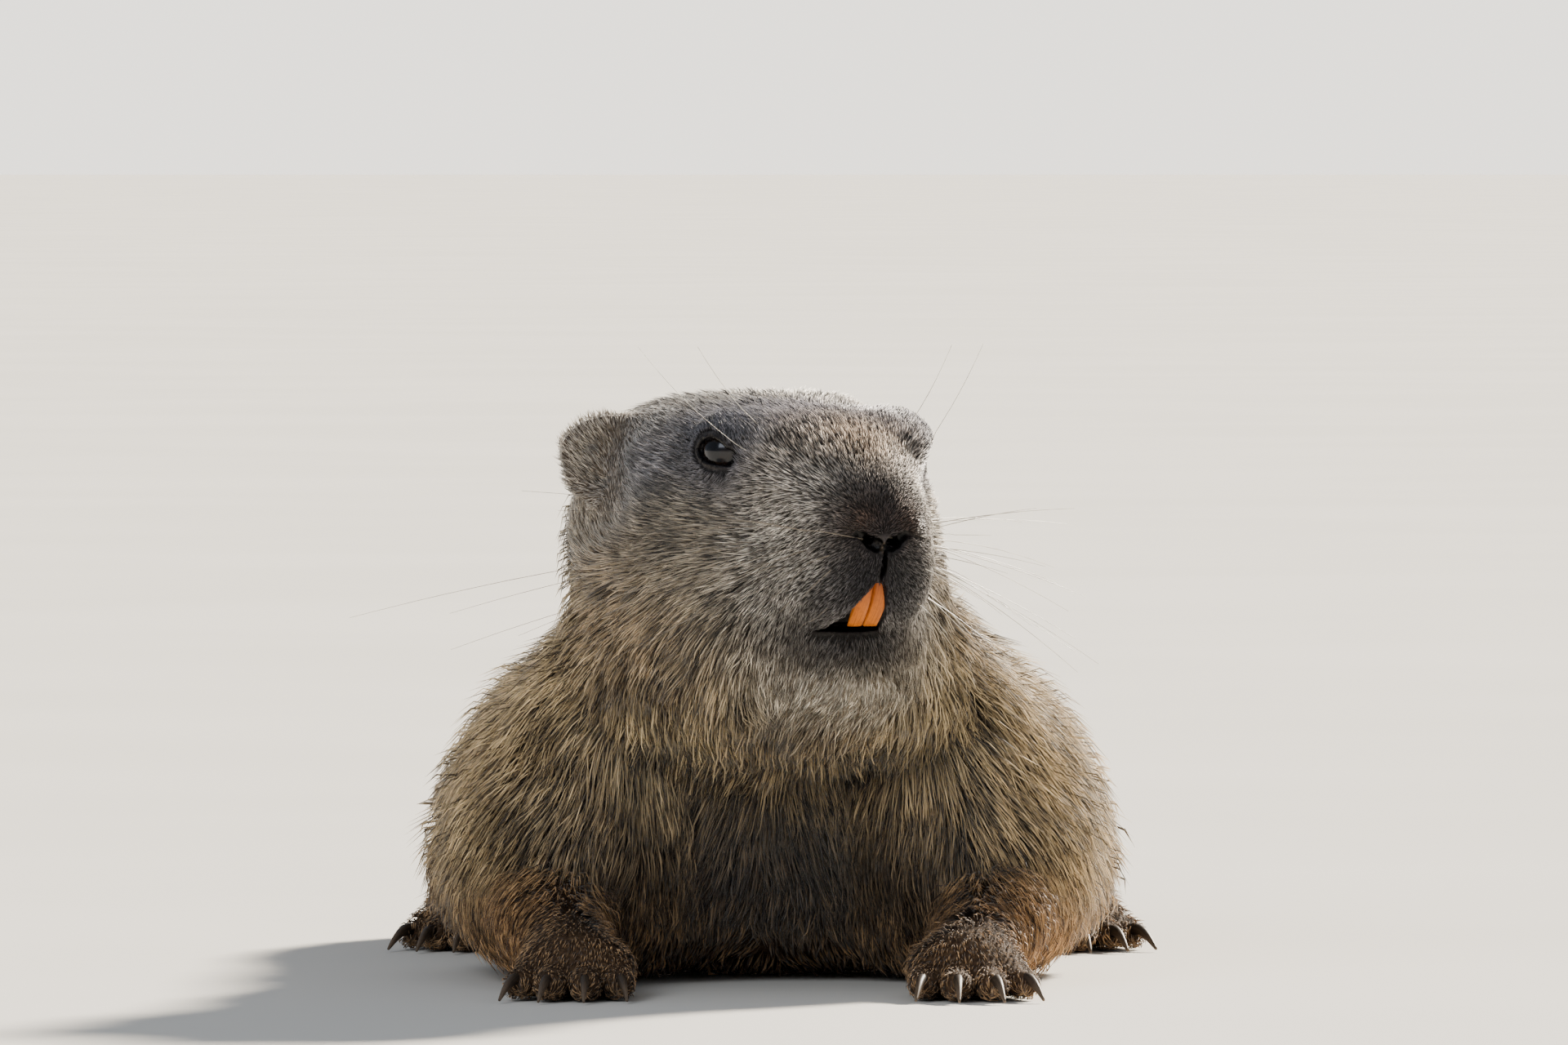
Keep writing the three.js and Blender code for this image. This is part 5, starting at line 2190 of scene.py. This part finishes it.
@dataclass
class Whiskers:
    """The whiskers of the muzzle, brows and cheeks.

    Attributes:
        root_radius: Radius of a whisker at its root, in mm.
        brow_share: How thick the hairs over the eye are beside the others.
        tip_radius: Radius at the tip.
        sides: Sides of a whisker's section.
        ceiling: Height over the floor that no whisker passes, in mm.
    """

    root_radius: float = 0.14
    brow_share: float = 0.7
    tip_radius: float = 0.045
    sides: int = 6
    ceiling: float = 168.0

    def build(self, skin: Skin, chance: Dice) -> None:
        """Makes the whiskers of both sides; those in shade are dark, and those in light are painted pale, a
        painted highlight.

        Args:
            skin: The skin that they grow from.
            chance: Where the random numbers come from.
        """
        nodes = WhiskerNodes("tapered hairs")
        pale, dark = PAINTED_LIT_BRISTLE.make(), DARK_BRISTLE.make()
        # The lit left side and the brows get the painted highlight's pale whiskers; the shaded right side
        # gets dark ones.
        plan = (
            ("whiskers_left", ("left",), False, pale),
            ("whiskers_right", ("right",), False, dark),
            ("whiskers_brow", ("left", "right"), True, pale),
        )
        for name, sides, brow, material in plan:
            rows = [row for row in WHISKER_ROWS if row.brow is brow]
            lines: list[Points] = []
            for side in sides:
                for row in rows:
                    lines += self.lines(row, SIDES[side], skin, chance)
            piece = self.edges(name, lines, skin.shift)
            values = {
                "Root radius": self.root_radius * (self.brow_share if brow else 1.0) * MM,
                "Tip radius": self.tip_radius * MM,
                "Sides": self.sides,
                "Material": material,
            }
            piece.data = nodes.apply(piece, values)
            piece.data.name = piece.name
            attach(piece, "root")

    def lines(self, row: WhiskerRow, side: float, skin: Skin, chance: Dice) -> Iterable[Points]:
        """Middle lines of a row of whiskers, in the body's frame.

        Args:
            row: The row.
            side: 1 for left, -1 for right.
            skin: The skin that they grow from.
            chance: Where the random numbers come from.

        Returns:
            The points of one whisker after another.
        """
        mirror = np.array([-side, 1.0, 1.0])
        for number in range(row.count):
            share = number / max(1, row.count - 1)
            root = np.array(row.start) + share * (np.array(row.end) - np.array(row.start))
            way = np.array(row.way) + share * (np.array(row.way_end) - np.array(row.way))
            way = way / np.linalg.norm(way) + chance.normal(0.0, 0.06, 3)
            length = (row.long + share * (row.short - row.long)) * chance.uniform(0.85, 1.12)
            stops = np.linspace(0.0, 1.0, 9)[:, None]
            line = root + way * length * stops
            line[:, 2] -= row.sag * length * (stops[:, 0] ** 2)
            line = HEAD.outward(line * mirror)
            line[0] = settled(skin.field, line[:1], 12.0, 5)[0]
            line[1:] += (line[0] - HEAD.outward((root * mirror)[None])[0]) * (1 - stops[1:])
            line = self.clear(line, skin)
            rise, room = line[-1, 2] - line[0, 2], self.ceiling - line[0, 2]
            yield line[0] + (line - line[0]) * min(1.0, room / max(rise, 1e-6))

    @staticmethod
    def clear(line: Points, skin: Skin) -> Points:
        """The line, lifted where it would sink into the coat.

        Args:
            line: The whisker's points.
            skin: The skin that it grows from.

        Returns:
            The points after.
        """
        value, slope = slope_of(skin.field, line)
        stops = np.linspace(0.0, 1.0, len(line))
        wanted = np.minimum(14.0 * stops, 6.0)
        lift = np.maximum(wanted - value, 0.0) * (stops > 0)
        return line + unit(slope) * lift[:, None]

    @staticmethod
    def edges(name: str, lines: Sequence[Points], shift: float) -> Thing:
        """An object whose mesh is only the whiskers' lines.

        Args:
            name: Its name.
            lines: The points of each whisker.
            shift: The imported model's shift towards +Y, in mm.

        Returns:
            The object.
        """
        corners = (np.concatenate(lines) + [0, shift, 0]) * MM
        pairs, start = [], 0
        for line in lines:
            pairs += [(start + k, start + k + 1) for k in range(len(line) - 1)]
            start += len(line)
        mesh = bpy.data.meshes.new(name)
        mesh.from_pydata(corners.tolist(), pairs, [])
        thing = bpy.data.objects.new(name, mesh)
        bpy.context.scene.collection.objects.link(thing)
        return thing


# Stage


@dataclass
class Studio:
    """Floor, light and camera.

    Attributes:
        distance: From the camera to what it looks at, in metres.
        elevation: Height of the view, in degrees.
        lens: Focal length, in mm on a sensor 36 mm wide.
        target: The point in the middle of the picture, in mm.
    """

    distance: float = 4.0
    elevation: float = 1.5
    lens: float = 352.5
    target: Vec = (3.2, -178.0, 121.3)

    def build(self, shift: float) -> None:
        """Sets up everything round the animal.

        Args:
            shift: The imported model's shift towards +Y, in mm.
        """
        aim = Vector((self.target[0], self.target[1] + shift, self.target[2])) * MM
        self.camera(aim)
        self.floor()
        self.world()
        key = (-1.3, -2.6, 1.7)
        self.lamp("key", "AREA", key, aim - Vector(key), size=1.3, energy=36.0, color=(0.9, 0.95, 1.0))
        # Warm light from behind, which draws the coat's outline
        rim = {"angle": math.radians(7.0), "energy": 15.5, "color": (1.0, 0.9, 0.76)}
        self.lamp("rim", "SUN", (0.0, 0.0, 0.0), -Vector((0.6, 0.85, 0.62)), **rim)

    def camera(self, aim: Vector) -> None:
        """The camera, at the photo's angle.

        Args:
            aim: The point it looks at, in metres.
        """
        angle = math.radians(self.elevation)
        data = bpy.data.cameras.new("camera")
        data.lens, data.sensor_width = self.lens, 36.0
        data.clip_start, data.clip_end = 0.1, 200.0
        camera = bpy.data.objects.new("camera", data)
        camera.location = aim + Vector((0.0, -math.cos(angle), math.sin(angle))) * self.distance
        camera.rotation_euler = (math.pi / 2 - angle, 0.0, 0.0)
        bpy.context.scene.collection.objects.link(camera)
        bpy.context.scene.camera = camera

    @staticmethod
    def floor() -> None:
        """A plain pale floor that reaches the horizon."""
        half = 60.0 / MM
        corners = half * np.array([(-1, -1, 0), (1, -1, 0), (1, 1, 0), (-1, 1, 0)])
        floor = mesh_of("floor", corners, np.array([(0, 1, 2, 3)]), 0.0)
        floor.data.materials.append(PAPER.make())
        floor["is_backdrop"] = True

    @staticmethod
    def world() -> None:
        """Even pale light from all round, as bright as the floor where it meets the floor."""
        world = bpy.data.worlds.new("studio")
        world.use_nodes = True
        tree = world.node_tree
        way = add_node(tree, "ShaderNodeTexCoord", out="Generated")
        rise = add_node(tree, "ShaderNodeSeparateXYZ", {0: way}, "Z")
        share = add_node(tree, RANGE, {0: rise, 1: 0.01, 2: 0.03}, **SOFTLY)
        above = tuple(0.47 * part for part in linear(0xD4DBE6))
        colour = add_node(tree, MIX, {0: share, 6: (2.3, 2.18, 1.98), 7: above}, 2, **COLOURS)
        tree.links.new(colour, tree.nodes["Background"].inputs["Color"])
        bpy.context.scene.world = world

    @staticmethod
    def lamp(name: str, kind: str, place: Vec, way: Vector, **settings: float | Vec) -> None:
        """A lamp that shines one way.

        Args:
            name: Its name.
            kind: "AREA" for a soft square lamp, "SUN" for even light from far away.
            place: Where it is, in metres.
            way: The way it shines.
            settings: Its power, its colour in linear parts, and its size in metres or radians.
        """
        data = bpy.data.lights.new(name, kind)
        for key, value in settings.items():
            setattr(data, key, value)
        lamp = bpy.data.objects.new(name, data)
        lamp.location = place
        lamp.rotation_mode = "QUATERNION"
        lamp.rotation_quaternion = way.to_track_quat("-Z", "Y")
        bpy.context.scene.collection.objects.link(lamp)


def model_shift() -> float:
    """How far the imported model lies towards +Y of these numbers, in mm, read off the right eye.

    Returns:
        The shift, in mm.
    """
    low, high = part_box("eye_right")
    place = HEAD.outward(np.array([eye_place(SIDES["right"]).at]))[0]
    return (low.y + high.y) / 2 / MM - place[1]


def main() -> None:
    """Builds every piece and the stage round them."""
    logging.basicConfig(level=logging.INFO, format="%(message)s")
    chance = np.random.default_rng(SEED)
    shift = model_shift()
    log.info("shift %.2f mm", shift)
    coat_map = CoatMap()
    skin = Skin()
    skin.grow(coat_map, shift)
    skin.dress(DOWNY_SKIN)
    coat = Coat(skin, chance)
    for index in range(len(ZONES)):
        coat.make(index)
    eye = WET_EYE.make()
    tooth = ENAMEL.make()
    claw = CLAW_HORN.make()
    for side in SIDES:
        Eye(side).build(shift, eye)
        Incisors().build(side, shift, tooth)
        Claws(FOREFOOT, "fore", side).build(shift, claw)
        Claws(HINDFOOT, "hind", side).build(shift, claw)
    Whiskers().build(skin, chance)
    Studio().build(shift)
    boxes = {"cad": CAD_BOX, "visual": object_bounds()}
    {name: [list(corner) for corner in box] for name, box in boxes.items()}


if __name__ == "__main__":
    main()
